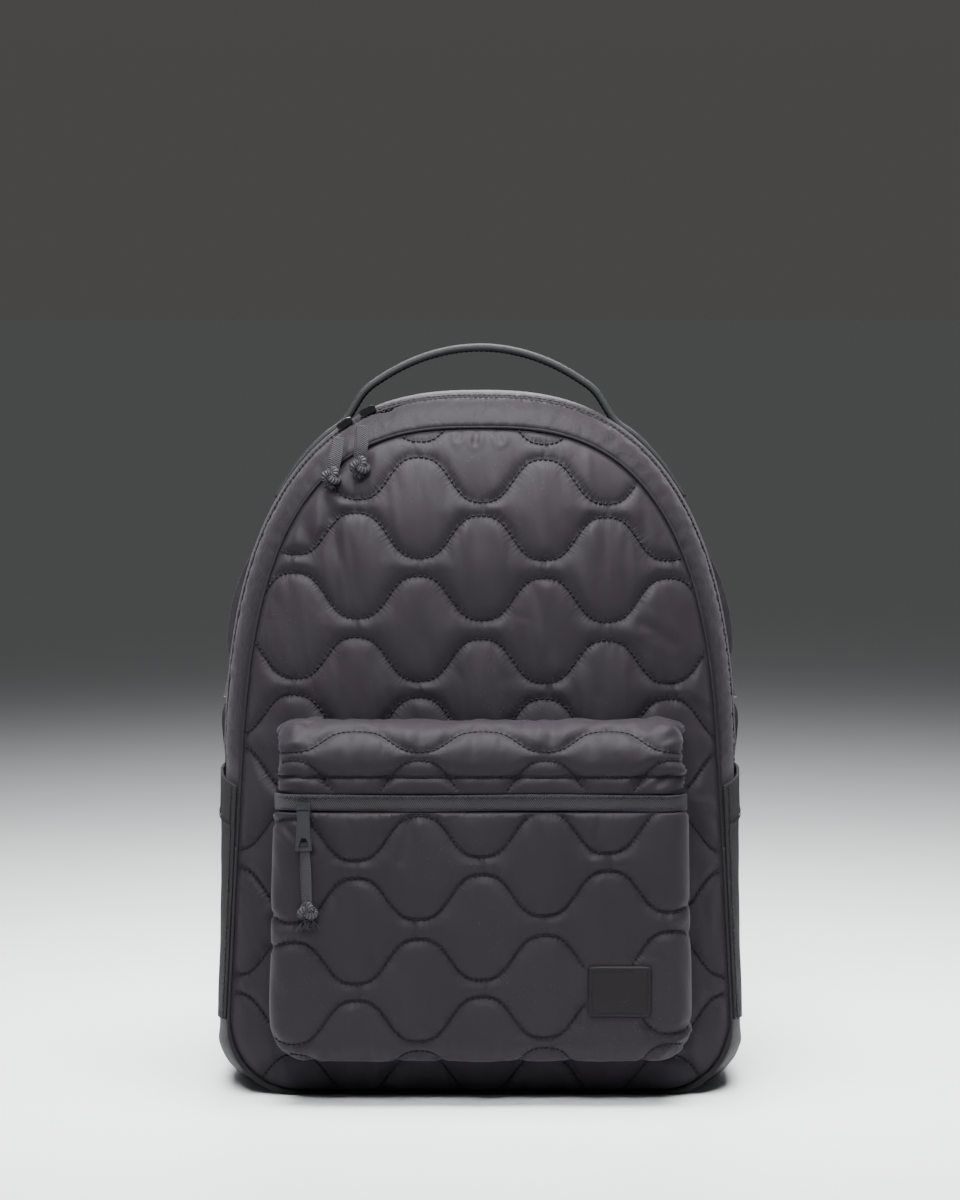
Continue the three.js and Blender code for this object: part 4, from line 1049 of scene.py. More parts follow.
def sew(name, stitches, radius, material=thread, sides=6):
    """stitches is a list of (start, end, outward) in millimetres."""
    start, end, outward = (np.array(column, float) for column in zip(*stitches))
    run = end - start
    length = np.linalg.norm(run, axis=1, keepdims=True)
    outward = outward / np.linalg.norm(outward, axis=1, keepdims=True)
    side = np.cross(run / np.maximum(length, 1e-9), outward)
    stops = np.array([0.0, 0.12, 0.5, 0.88, 1.0])
    widths = np.array([0.35, 0.85, 1.0, 0.85, 0.35])
    turn = np.arange(sides) * 2 * math.pi / sides
    middle = start[:, None] + run[:, None] * stops[None, :, None]
    middle = middle + outward[:, None] * (radius * (0.9 - 3.2 * (stops - 0.5) ** 2))[None, :, None]
    ring = np.cos(turn)[:, None] * side[:, None, None] + np.sin(turn)[:, None] * outward[:, None, None]
    points = middle[:, :, None] + ring * (radius * widths)[None, :, None, None]
    per = len(stops) * sides
    faces = ring_faces(len(stops), sides)
    every = [tuple(i + n * per for i in face) for n in range(len(start)) for face in faces]
    return make_piece(name, points.reshape(-1, 3), every, material)


def along_line(line, outward, pitch, share=0.78):
    """Straight stitches along a line in space."""
    reach = reach_along(line)
    starts = np.arange(pitch * 0.2, reach[-1] - pitch, pitch)
    at = lambda values, place: np.stack([np.interp(place, reach, column) for column in values.T], 1)
    return list(zip(at(line, starts), at(line, starts + pitch * share), at(outward, starts)))


def zigzag(line, outward, across, pitch, width):
    reach = reach_along(line)
    turns = np.arange(0, reach[-1], pitch)
    at = lambda values: np.stack([np.interp(turns, reach, column) for column in values.T], 1)
    sway = np.where(np.arange(len(turns)) % 2, 0.5, -0.5)[:, None] * width
    corners = at(line) + at(across) * sway
    return list(zip(corners[:-1], corners[1:], at(outward)[:-1]))


panel_stitches = []
for row in panel_rows:
    for run in inside_runs(space_out(row, 1.0), panel_rim, 1.0):
        line = np.stack([run[:, 0], panel_face(run) - 0.5, run[:, 1]], 1)
        panel_stitches += along_line(line, everywhere(forward, line), stitch_pitch)
sew("front_stitches", panel_stitches, 0.48)
print(len(panel_stitches), "stitches on the panel")

# %% [markdown]
# ## The front pocket
#
# The pocket's front is quilted as the panel is, with rows that climb a little to the right. Its
# sides and base roll back to the seam with the pocket's side strip, while its top edge goes under
# the zip band. Rings of points close to the edge let the pattern follow that tight roll. The
# leather patch is sewn on, so the cloth is flat and held under it.

# %% The pocket's outline and surface
pocket_shift, pocket_foot, pocket_corner, pocket_roll = 0.5, 27.0, 20.0, 13.0
pocket_flat, patch_plane = -88.0, -103.0
band_foot, band_height, pocket_top_z = 174.0, 9.4, 222.0


def pocket_half(z):
    return 122.5 - 4.0 * (np.asarray(z) - pocket_foot) / (pocket_top_z - pocket_foot)


def pocket_outline(top, top_corner, inset=0.0):
    turn = np.linspace(0, math.pi / 2, 30)
    corner, foot = max(pocket_corner - inset, 1.0), pocket_foot + inset
    low_half, high_half = pocket_half(foot + corner) - inset, pocket_half(top) - inset
    low_x, low_z = low_half - corner + corner * np.sin(turn), foot + corner - corner * np.cos(turn)
    high_x = high_half - top_corner + top_corner * np.cos(turn)
    high_z = top - top_corner + top_corner * np.sin(turn)
    right = np.concatenate([np.stack([low_x, low_z], 1), np.stack([high_x, high_z], 1)])
    left = right[::-1] * [-1, 1]
    return np.concatenate([right, left]) + [pocket_shift, 0]


face_top = band_foot - 0.75
past_the_top = 260.0  # the sides run on up past the pocket, so only sides and base roll back
half_loop = pocket_outline(past_the_top, 0.5)
split = len(half_loop) // 2
rolled_edge = space_out(np.concatenate([half_loop[split:], half_loop[:split]]), 3.0)
patch_middle, patch_size = np.array([81.0, 69.0]), np.array([37.0, 29.7])


def rolled(room):
    return np.sqrt(1 - (1 - np.clip(room / pocket_roll, 0, 1)) ** 2)


def patch_room(points, margin=0.0):
    away = np.abs(points - patch_middle) - patch_size / 2 - margin
    return away.max(1)


def pocket_face(points):
    y = pocket_flat - pocket_roll * rolled(to_line(points, rolled_edge)[0])
    on_patch = smooth(1 - patch_room(points) / 6.0)
    return y * (1 - on_patch) + patch_plane * on_patch


pocket_heights = [21.6, 53.0, 88.0, 124.5, 160.0]
pocket_rows = [wave_row(z, k % 2 == 1, 130, 0.03) for k, z in enumerate(pocket_heights)]
pocket_necks = necks_between(pocket_heights, 0.03)
print("pocket", 2 * round(float(pocket_half(100))), "mm wide")

# %% Cut and settle the pocket's front
outline = pocket_outline(face_top, 3.0)
roll_rings = []
for angle in range(10, 85, 9):
    inset = pocket_roll * (1 - math.cos(math.radians(angle)))
    roll_rings.append(space_out(pocket_outline(face_top - 1.0, 2.0, inset), cloth_step, closed=True))
patch_edge = patch_middle + patch_size / 2 * np.array([(-1, -1), (1, -1), (1, 1), (-1, 1), (-1, -1)])
flat, faces, sewn = cut(outline, [*pocket_rows, patch_edge], cloth_step, roll_rings)
sewn |= patch_room(flat) < 0.3
face = np.stack([flat[:, 0], pocket_face(flat), flat[:, 1]], 1)
faces = face_forward(face, faces)
seam, along = seam_data(flat, pocket_rows)
near = np.minimum(seam, np.clip(patch_room(flat), 0, None))
near = np.minimum(near, to_line(flat, closed_line(outline))[0] + 2.0 * ~sewn)
blended = from_rows(flat, pocket_rows, patch_room(flat))
height = filled(flat, near, blended, shoulder=1.7, crown=0.8, folds=0.85, seed=21)
height = height - neck_creases(flat, pocket_necks, 5) * smooth(near / 3.0)
pocket_folds = [
    ((121, 46), (106, 34), -1.5, 1.9),
    ((-112, 165), (-98, 150), 1.2, 2.0),
    ((70, 172), (66, 150), 0.9, 2.6),
    ((-40, 172), (-46, 146), 0.8, 3.0),
]
height = height - chosen_folds(flat, pocket_folds) * smooth(near / 3.0)
puffed = raise_cloth(face, faces, np.where(sewn, 0, height))
blown = settle("pocket_front", puffed, faces, sewn, pressure=1.2, spare=0.004, frames=8, bending=2)
settled = limit(puffed, blown, most_move, share=kept_share)
points, closed = close_behind(settled, faces, face + face_normals(face, faces) * -2.4)
data = pattern_data(flat, seam=seam, along=along)
quilted_pocket = make_piece(
    "quilted_pocket", points, closed, quilt_nylon, ["pocket_front"], data
)
pocket_cloth = settled

pocket_stitches = []
for row in pocket_rows:
    for run in inside_runs(space_out(row, 1.0), outline, 0.8):
        run = run[patch_room(run) > 0.5]
        gaps = np.flatnonzero(np.linalg.norm(np.diff(run, axis=0), axis=1) > 3) + 1
        for part in np.split(run, gaps):
            if len(part) > 5:
                line = np.stack([part[:, 0], pocket_face(part) - 0.5, part[:, 1]], 1)
                facing = everywhere(forward, part)
                facing[:, 0] = (part[:, 0] - pocket_shift) * 0.004
                pocket_stitches += along_line(line, facing, stitch_pitch)
sew("pocket_stitches", pocket_stitches, 0.48)
print(len(pocket_stitches), "stitches on the pocket")

# %% [markdown]
# The pocket's top is one puffed piece that rises off the panel, rounds over and comes down to
# the zip band. In section it follows a short table of shares: how far out from the panel, and how
# high. It has two rows of waves. A flat seam of zigzag stitches runs across under them, and its
# thread lies on the settled cloth. Where the top turns in at its two ends the cloth crumples.

# %% The pocket's top
top_out = np.array([0.0, 0.4, 0.74, 0.95, 1.0, 0.91, 0.97, 1.02])
top_up = np.array([1.0, 0.98, 0.88, 0.68, 0.45, 0.25, 0.12, 0.0])
top_foot = band_foot + band_height + seam_gap
top_depth, top_front, top_corner, top_half = 36, -100.0, 14.0, 117.0
top_height = pocket_top_z - top_foot
knots, kernel = np.arange(8), np.ones(13) / 13
fine = np.linspace(0, 7, 141)
table = [np.interp(fine, knots, top_out) * top_depth, np.interp(fine, knots, top_up) * top_height]
eased = [np.pad(column, 6, mode="reflect", reflect_type="odd") for column in table]
profile = np.stack([np.convolve(column, kernel, "valid") for column in eased], 1)
profile_reach = reach_along(profile)


def pocket_top_place(flat):
    """Where a point of the top's pattern lies: x across, and down from the panel to the band."""
    out = np.interp(flat[:, 1], profile_reach, profile[:, 0]) / top_depth
    up = np.interp(flat[:, 1], profile_reach, profile[:, 1])
    z = top_foot + up
    across = np.abs(flat[:, 0]) / top_half
    x = pocket_shift + flat[:, 0] / top_half * 0.985 * pocket_half(z)
    corner = np.clip(1 - (1 - across * 0.985) * pocket_half(z) / top_corner, 0, 1)
    drop = top_corner * (1 - np.sqrt(1 - corner**2)) * (up / top_height) ** 2
    rear = panel_face(np.stack([x, np.full(len(x), pocket_top_z) - drop], 1)) - seam_gap
    end = np.sqrt(1 - np.clip((across - 0.88) / 0.12, 0, 1) ** 2)
    y = rear + (top_front - rear) * out * (0.62 + 0.38 * end)
    return np.stack([x, y, z - drop], 1)


def down_at(z):
    return float(np.interp(-(z - top_foot), -profile[:, 1], profile_reach))


depth = float(profile_reach[-1])
corners = np.array([(-top_half, 0), (top_half, 0), (top_half, depth), (-top_half, depth)], float)
seam_z = 193.6
flat_seam = np.array([(x, down_at(seam_z)) for x in (-top_half, 0, top_half)])
top_rows = [
    wave_row(down_at(214.5), False, top_half, 0.0, rise=8.0),
    wave_row(down_at(191.4), True, top_half, 0.0),
]
flat, faces, sewn = cut(corners, [*top_rows, flat_seam], cloth_step)
top = pocket_top_place(flat)
if face_normals(top, faces)[:, 2].mean() < 0:
    faces = faces[:, ::-1]
seam, along = seam_data(flat, top_rows)
from_flat_seam = to_line(flat, flat_seam)[0]
on_flat_seam = (from_flat_seam < 0.05) & (seam > 0.4)
above_band = depth - flat[:, 1]
blended = from_rows(flat, top_rows, above_band)
near = np.minimum(seam, above_band)
height = filled(flat, near, blended, shoulder=1.5, crown=1.3, folds=0.8, seed=31)
slanting = flat @ np.array([[0.8, 0.6], [-0.6, 0.8]])
at_the_ends = smooth((np.abs(flat[:, 0]) - 88) / 18)
crumples = soft_noise(slanting, 9.0, 4.5, 35) * at_the_ends * smooth(seam / 5)
seam_dip = 1.15 * np.exp(-((from_flat_seam / 1.5) ** 2)) * smooth(seam / 4)
height = height + 1.7 * crumples - seam_dip
puffed = raise_cloth(top, faces, np.where(sewn & ~on_flat_seam, 0, np.maximum(height, 0)))
blown = settle("pocket_top", puffed, faces, sewn, pressure=1.5, spare=0.006, frames=8, bending=1.5)
settled = limit(puffed, blown, most_move, share=kept_share)
points, closed = close_behind(settled, faces, top - face_normals(top, faces) * 2.2)
data = pattern_data(flat, seam=seam, along=along)
puffed_top = make_piece("puffed_top", points, closed, quilt_nylon, ["pocket_top"], data)

top_stitches = []
for row in top_rows:
    for run in inside_runs(space_out(row, 1.0), corners, 1.5):
        line = pocket_top_place(run)
        ahead = np.gradient(line, axis=0)
        outward = np.cross(ahead, pocket_top_place(run + [0, 1.0]) - line)
        outward *= np.where(outward[:, 1:2] + -outward[:, 2:] > 0, -1, 1)
        lift = outward / np.linalg.norm(outward, axis=1, keepdims=True) * 0.15
        top_stitches += along_line(line + lift, outward, stitch_pitch)
picked = np.flatnonzero(on_flat_seam)
picked = picked[np.argsort(flat[picked, 0])]
facing = face_normals(settled, faces)[picked]
line = settled[picked] + facing * 0.4
top_stitches += zigzag(line, facing, everywhere(upward, line), 1.35, 1.5)
sew("top_stitches", top_stitches, 0.46)

# %% [markdown]
# ## The gusset and the main zip
#
# The strip round the sides is cut in three: a narrow flap in front of the zip, a wide one behind
# it, and a base that also closes the lower sides under the zip's ends. They are long and nearly
# flat, so a plain grid of rows and columns is enough. The long edges are sewn, the cloth between
# them is a little slack, and the simulation turns that slack into soft waves. Under the sleeves
# the cloth lies still, the base is flat where the pack stands on it, and at the main zip's
# sliders the front flap draws back, because the zip is open there.

# %% Strips of the gusset
gusset_wall, slack_move, zip_opening = 1.6, 1.6, 0.24


def grid_faces(rows, columns):
    index = np.arange(rows * columns).reshape(rows, columns)
    a, b, c, d = index[:-1, :-1], index[1:, :-1], index[1:, 1:], index[:-1, 1:]
    return np.stack([a, b, c, d], -1).reshape(-1, 4)


def over_the_top(w, first):
    """Shares of the seam from its left end at -1, over the top at 0, to its right end at 1."""
    w = np.asarray(w, float)
    return np.where(w < 0, -1.0, 1.0) * (1 - np.abs(w) * (1 - first))


def gusset_strip(name, node, at, shares, pressure, spare, material=shaded_shell_nylon, opened=None):
    rows, columns = len(at), len(shares)
    grid_at, grid_across = np.meshgrid(at, shares, indexing="ij")
    if opened:
        grid_across = grid_across * (1 - zip_opening * np.exp(-(((grid_at - opened) / 0.01) ** 2)))
    rest = on_gusset(grid_at, grid_across).reshape(-1, 3)
    faces = grid_faces(rows, columns)
    outward = rest - [0, rest[:, 1].mean(), 190.0]
    if (face_normals(rest, faces) * outward).sum() < 0:
        faces = faces[:, ::-1]
    held = np.zeros((rows, columns), bool)
    held[:, [0, -1]] = held[[0, -1], :] = True
    rng = np.random.default_rng(rows)
    push = np.where(held.ravel(), 0, rng.uniform(0, 0.5, rows * columns))
    start = rest + face_normals(rest, faces) * push[:, None]
    blown = settle(name, start, faces, held.ravel(), pressure=pressure, spare=spare)
    in_sleeve = smooth((rest[:, 2] - 26) / 12) * smooth((203 - rest[:, 2]) / 12)
    under_sleeve = in_sleeve * (np.abs(rest[:, 0]) > 120)
    cloth = rest + (limit(rest, blown, slack_move) - rest) * (1 - 0.93 * under_sleeve)[:, None]
    cloth[:, 2] = cloth[:, 2].clip(0)
    points, closed = close_behind(cloth, faces, rest - face_normals(rest, faces) * gusset_wall)
    reach = reach_along(rest.reshape(rows, columns, 3)[:, 0])
    flat = np.stack([np.repeat(reach, columns), np.tile(np.asarray(shares) * gusset_width, rows)], 1)
    return make_piece(name, points, closed, material, [node], pattern_data(flat))


zip_end = share_at_height("zip", 150)
slider_at = -share_at_height("zip", 0.965 * 411)
w = np.linspace(-1, 1, 300)
top_at = over_the_top(w, zip_end)
base_at = np.linspace(-zip_end + 0.0006, zip_end - 0.0006, 250)
flap_shares, rear_shares = np.linspace(0, 0.284, 11), np.linspace(0.326, 1, 24)
base_shares = np.linspace(0, 1, 34)
gusset_strip("flap_cloth", "zip_flap", top_at, flap_shares, 3, 0.02, opened=slider_at - 0.03)
gusset_strip("rear_cloth", "rear_gusset", top_at, rear_shares, 3, 0.02)
gusset_strip("base_cloth", "base_gusset", base_at, base_shares, 2, 0.015, material=base_nylon)

# %% [markdown]
# A coil zip is one plastic thread wound in loops on each side, and the loops of the two sides
# hook together. Between the flaps only a narrow line of it shows, so each loop is a short thick
# bar across the gap, and the slanting of the bars gives the zip its teeth. The tape behind them
# is the frame's own solid with a woven finish. A row of fine stitches runs along each flap.

# %% Zip coils and tapes
def keep_solid(node, material, edge=None):
    """The frame's own solid with a finish and, on a hard part, rounded edges."""
    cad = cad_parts[node]
    cad.data.materials.clear()
    cad.data.materials.append(material)
    if edge:
        rounded = cad.modifiers.new("rounded edges", "BEVEL")
        rounded.width, rounded.segments = edge, 3


middle_line = on_gusset(top_at, zip_share, -1.7)
_, zip_out = on_seam("zip", top_at)
coil_bars = zigzag(middle_line, zip_out, everywhere(rearward, w), 1.7, 3.4)
sew("main_zip_coil", coil_bars, 0.62, material=coil)
for node in ("main_zip_tape", "pocket_zip_tape"):
    keep_solid(node, tape)
print(len(coil_bars), "bars in the coil")

# %% Topstitching beside the zip
for name, share in (("flap_topstitch", 0.262), ("rear_topstitch", 0.338)):
    line = on_gusset(top_at, share, 0.35)
    sew(name, along_line(line, zip_out, 3.0), 0.34)

# %% [markdown]
# ## Binding
#
# The seams of the front and the back are bound with folded tape, which reads as a dark welt. It
# is a soft bead swept round the seam. Small swellings along it stand for the layers of cloth
# inside and keep it from looking like a wire. A table gives its thickness at a few heights: it
# is pressed thin beside the sleeves, and flat where the pack stands on it.

# %% Sweep a section along a path
def sweep(path, side, section, closed=False, scale=None):
    """Rings of a section, (across, up) in millimetres, along a path."""
    path, side, section = (np.asarray(given, float) for given in (path, side, section))
    if closed:
        ahead = np.roll(path, -1, axis=0) - np.roll(path, 1, axis=0)
    else:
        ahead = np.gradient(path, axis=0)
    ahead /= np.linalg.norm(ahead, axis=1, keepdims=True)
    side = side - ahead * (side * ahead).sum(1, keepdims=True)
    side /= np.linalg.norm(side, axis=1, keepdims=True)
    up = np.cross(ahead, side)
    if scale is None:
        scale = np.ones((len(path), 2))
    u, v = section[None, :, 0] * scale[:, :1], section[None, :, 1] * scale[:, 1:]
    points = path[:, None] + side[:, None] * u[..., None] + up[:, None] * v[..., None]
    n, m = len(path), len(section)
    flat = np.stack([np.repeat(reach_along(path), m), np.tile(section[:, 0], n), np.zeros(n * m)], 1)
    return points.reshape(-1, 3), ring_faces(n, m, closed), {"thread": flat}


def pill(width, thickness, count=16, fullness=0.55):
    """A flat section with round edges."""
    turn = np.arange(count) * 2 * math.pi / count
    u, v = np.cos(turn), np.sin(turn)
    across = np.sign(u) * np.abs(u) ** fullness * width / 2
    up = np.sign(v) * np.abs(v) ** fullness * thickness / 2
    return np.stack([across, up], 1)


welt_heights = [0, 34, 46, 185, 200, 400]


def bind(name, node, seam_name, lift, inset, weight=(1, 1, 1, 1, 1, 1)):
    line, outward = on_seam(seam_name, both_halves(620))
    line = line - outward * inset + [0, lift, 0]
    rng = np.random.default_rng(4)
    swell = np.convolve(rng.normal(0, 0.12, len(line) + 8), np.ones(9) / 3, "valid")
    by_height = np.interp(line[:, 2], welt_heights, weight)
    scale = (1 + np.stack([swell, swell], 1)) * by_height[:, None]
    points, faces, data = sweep(line, outward, pill(3.4, 3.2, 12, 0.8), closed=True, scale=scale)
    points[:, 2] = points[:, 2].clip(0)
    return make_piece(name, points, faces, tape, [node], data)


bind("front_welt", "front_piping", "front", -0.5, 0.7, weight=(1.2, 1.1, 0.3, 0.3, 0.5, 0.5))
bind("back_welt", "back_piping", "back", 3.6, 1.3)

# %% [markdown]
# ## Pocket side, band and patch
#
# A strip of nylon joins the pocket's front to the panel. Over the pocket's zip lies a flat band
# of twill tape, held by a zigzag seam along its top and a straight one along its foot. A thin
# backing tape closes the gap behind it. The patch is a piece of thin leather with a soft edge,
# bare apart from its stitched border.

# %% The strip round the pocket
side_line = pocket_outline(pocket_top_z, 14.0, inset=0.3)
split = len(side_line) // 2
side_line = walk(np.concatenate([side_line[split + 30 :], side_line[: split - 30]]), 220)[0]
ahead = np.gradient(side_line, axis=0)
outward = np.stack([ahead[:, 1], -ahead[:, 0]], 1) / np.linalg.norm(ahead, axis=1, keepdims=True)
rear = panel_face(side_line) - 2 * seam_gap
below = pocket_flat + 2.85  # just behind the rolled edge of the pocket's front
rise = smooth(np.clip((pocket_top_z - side_line[:, 1]) / (pocket_top_z - band_foot), 0, 1) * 1.6)
fore = np.where(side_line[:, 1] <= band_foot, below, (rear - 6) * (1 - rise) + below * rise)
side_puff = 1.2
t = np.linspace(0, 1, 13)
rest = np.stack(
    [
        side_line[:, None, 0] + outward[:, None, 0] * side_puff * 4 * t * (1 - t),
        rear[:, None] * (1 - t) + fore[:, None] * t,
        side_line[:, None, 1] + outward[:, None, 1] * side_puff * 4 * t * (1 - t),
    ],
    -1,
)
held = np.zeros(rest.shape[:2], bool)
held[:, [0, -1]] = held[[0, -1], :] = True
rest, faces = rest.reshape(-1, 3), grid_faces(*held.shape)
if (face_normals(rest, faces) * (rest - rest.mean(0)) * [1, 0, 1]).sum() < 0:
    faces = faces[:, ::-1]
cloth = limit(rest, settle("pocket_side", rest, faces, held.ravel(), pressure=4, spare=0.03), 2.5)
points, closed = close_behind(cloth, faces, rest - face_normals(rest, faces) * 1.0)
make_piece("pocket_side_cloth", points, closed, shaded_shell_nylon, ["pocket_side"])


# %% The band over the pocket's zip
def across_front(z, half, count=160):
    t = np.linspace(-1, 1, count)
    x = pocket_shift + np.sin(t * math.pi / 2) * half
    room = pocket_half(band_foot) - np.abs(x - pocket_shift)
    return np.stack([x, pocket_flat - pocket_roll * rolled(room), np.full(count, float(z))], 1)


band_half = float(pocket_half(band_foot)) - 0.6
line = across_front(band_foot + band_height / 2, band_half)
line[:, 1] += 0.3
line[:, 2] += 0.35 * np.sin(line[:, 0] / 23.0)
points, faces, data = sweep(line, everywhere(upward, line), pill(band_height, 1.9, 16, 0.35))
make_piece("zip_band", points, faces, band_tape, ["pocket_band"], data)
behind, backing = line + [0, 2.1, 1.0], pill(band_height + 5.0, 0.8, 12, 0.3)
points, faces, data = sweep(behind, everywhere(upward, line), backing)
make_piece("band_backing", points, faces, tape, data=data)


def on_band(z):
    return np.stack([line[:, 0], line[:, 1] - 1.05, np.full(len(line), z)], 1)


top_row, low_row = on_band(band_foot + band_height - 1.6), on_band(band_foot + 1.5)
facing = everywhere(forward, line)
sew("band_zigzag", zigzag(top_row, facing, everywhere(upward, line), 1.5, 1.7), 0.26)
sew("band_stitches", along_line(low_row, facing, 2.6), 0.28)

# %% The leather patch
patch_half, border_inset, corner_round = patch_size / 2, 2.4, 0.055
columns, rows = 56, 46
grid_u, grid_v = np.meshgrid(np.linspace(-1, 1, columns), np.linspace(-1, 1, rows), indexing="ij")
x = patch_middle[0] + grid_u * (1 - corner_round * np.abs(grid_v) ** 14) * patch_half[0]
z = patch_middle[1] + grid_v * (1 - corner_round * np.abs(grid_u) ** 14) * patch_half[1]
rim_away = np.minimum((1 - np.abs(grid_u)) * patch_half[0], (1 - np.abs(grid_v)) * patch_half[1])
edge_round = np.sqrt(1 - (1 - np.clip(rim_away, 0, 1)) ** 2)
stitch_dip = 0.22 * np.exp(-(((rim_away - border_inset) / 0.55) ** 2))
curl = 0.35 * (grid_u * grid_v) ** 2
y = patch_plane - 0.5 - 0.9 * edge_round + stitch_dip - curl
rest = np.stack([x, y, z], -1).reshape(-1, 3)
faces = face_forward(rest, grid_faces(columns, rows))
back = rest.copy()
back[:, 1] = patch_plane - seam_gap
points, closed = close_behind(rest, faces, back)
data = pattern_data(rest[:, [0, 2]])
make_piece("bare_patch", points, closed, leather, ["leather_patch"], data)
border = patch_middle + (patch_edge - patch_middle) * (1 - border_inset / patch_half)
patch_stitches = []
for start, end in zip(border[:-1], border[1:]):
    line = np.linspace(start, end, 20)
    line = np.stack([line[:, 0], np.full(20, patch_plane - 1.2), line[:, 1]], 1)
    patch_stitches += along_line(line, everywhere(forward, line), 1.75, 0.7)
sew("patch_stitches", patch_stitches, 0.24)

# %% [markdown]
# ## Back panel and side sleeves
#
# The back is a padded sheet of spacer mesh with a flat bound edge. The sleeves are single canvas
# with a folded hem. A sleeve hugs the gusset and stands off at its mouth, where a bottle goes in.

# %% The padded back
back_rim = whole_rim("back")
coarse_back = closed_line(space_out(back_rim, 4.0, closed=True))
back_step, back_wall, back_swell, back_edge_reach = 3.4, 2.35, 7.0, 26.0


def back_face(points):
    room = to_line(points, coarse_back)[0]
    swell = back_swell * smooth((room - 3.0) / back_edge_reach)
    return seam_depth("back", points[:, 1]) + back_wall + swell


back_margin = closed_line(whole_rim("back", back_step))
flat, faces, sewn = cut(back_rim, [back_margin], back_step)
rest = np.stack([flat[:, 0], back_face(flat), flat[:, 1]], 1)
if face_normals(rest, faces)[:, 1].mean() < 0:
    faces = faces[:, ::-1]
blown = settle("back_panel", rest, faces, sewn, pressure=2.5, spare=0.008, stiffness=30)
cloth = limit(rest, blown, 3.0)
lining = np.stack([flat[:, 0], seam_depth("back", flat[:, 1]) + seam_gap, flat[:, 1]], 1)
points, closed = close_behind(cloth, faces, lining)
data = pattern_data(flat)
back_pad = make_piece("back_pad", points, closed, spacer_mesh, ["back_panel"], data)

# %% Side sleeves
sleeve_foot, sleeve_top, sleeve_hem = 42.0, 188.0, 27.0
sleeve_wall, hem_wall, mouth_stand = 1.1, 0.6, 1.3
rows, columns = 90, 52


def sleeve_stand(across, z):
    """How far the sleeve stands off the gusset, and how much its hem adds."""
    open_up = smooth((z - sleeve_top * 0.55) / (sleeve_top * 0.45))
    bow = np.sqrt(np.clip(1 - ((across - 0.47) / 0.46) ** 2, 0, 1))
    return mouth_stand * open_up * bow, hem_wall * smooth((z - (sleeve_top - sleeve_hem)) / 1.2)


for side, sign in (("left", -1), ("right", 1)):
    ends = (share_at_height("zip", sleeve_foot), share_at_height("zip", sleeve_top))
    heights, shares = np.linspace(*ends, rows), np.linspace(0.015, 0.93, columns)
    grid_at, grid_across = np.meshgrid(heights, shares, indexing="ij")
    z = on_seam("zip", grid_at)[0][..., 2]
    stand, hem = sleeve_stand(grid_across, z)
    crease = 0.22 * np.sin(z / 9.0 + grid_across * 7) * np.sin(grid_across * 23 + z / 31.0)
    face_out = seam_gap + stand + sleeve_wall + hem + crease
    outer = on_gusset(sign * grid_at, grid_across, face_out).reshape(-1, 3)
    inner = on_gusset(sign * grid_at, grid_across, seam_gap + stand).reshape(-1, 3)
    faces = grid_faces(rows, columns)
    if face_normals(outer, faces)[:, 0].mean() * sign < 0:
        faces = faces[:, ::-1]
    points, closed = close_behind(outer, faces, inner)
    data = pattern_data(np.stack([grid_across.ravel() * gusset_width, z.ravel()], 1))
    node = f"side_pocket_{side}"
    make_piece(f"sleeve_{side}", points, closed, canvas, [node], data)
    sleeve_stitches = []
    hem_at = np.full(60, share_at_height("zip", sleeve_top - sleeve_hem + 2.0))
    for at, across, sideways in (
        (hem_at, np.linspace(0.03, 0.91, 60), upward),
        (heights, np.full(rows, 0.04), rearward),
    ):
        stand, hem = sleeve_stand(across, on_seam("zip", at)[0][:, 2])
        line = on_gusset(sign * at, across, stand + hem + 1.65)
        outward = on_seam("zip", sign * at)[1]
        sleeve_stitches += zigzag(line, outward, everywhere(sideways, line), 1.7, 1.9)
    sew(f"sleeve_stitches_{side}", sleeve_stitches, 0.3)

# %% [markdown]
# ## Carry handle
#
# The handle is a long flat strap, folded double and stitched along both edges. It is sewn to the
# gusset on either side and stands up in an arch between. A smooth curve is drawn through a few
# places on the gusset and over the arch, and a flat rounded section is swept along it.

# %% Curves through a few points
def smooth_path(points, count):
    """A Catmull-Rom curve through the points, at even spacing."""
    points = np.asarray(points, float)
    points = np.concatenate([[2 * points[0] - points[1]], points, [2 * points[-1] - points[-2]]])
    made = []
    for k in range(1, len(points) - 2):
        a, b, c, d = points[k - 1 : k + 3]
        t = np.linspace(0, 1, 24, endpoint=False)[:, None]
        bend, twist = 2 * a - 5 * b + 4 * c - d, 3 * b - a - 3 * c + d
        made.append(0.5 * (2 * b + (c - a) * t + bend * t**2 + twist * t**3))
    made.append(points[-2][None])
    return walk(np.concatenate(made), count)[0]


handle_across = 0.62  # where the handle crosses the gusset, from the front seam to the back


def top_place(x, out):
    """The place on the top of the gusset that is x from the middle."""
    line = seams["zip"]["line"]
    upper = len(line) // 2
    shares = np.linspace(upper / (len(line) - 1), 1, len(line) - upper)
    share = np.interp(abs(x), line[upper:, 0][::-1], shares[::-1])
    return on_gusset(math.copysign(share, x), handle_across, out)


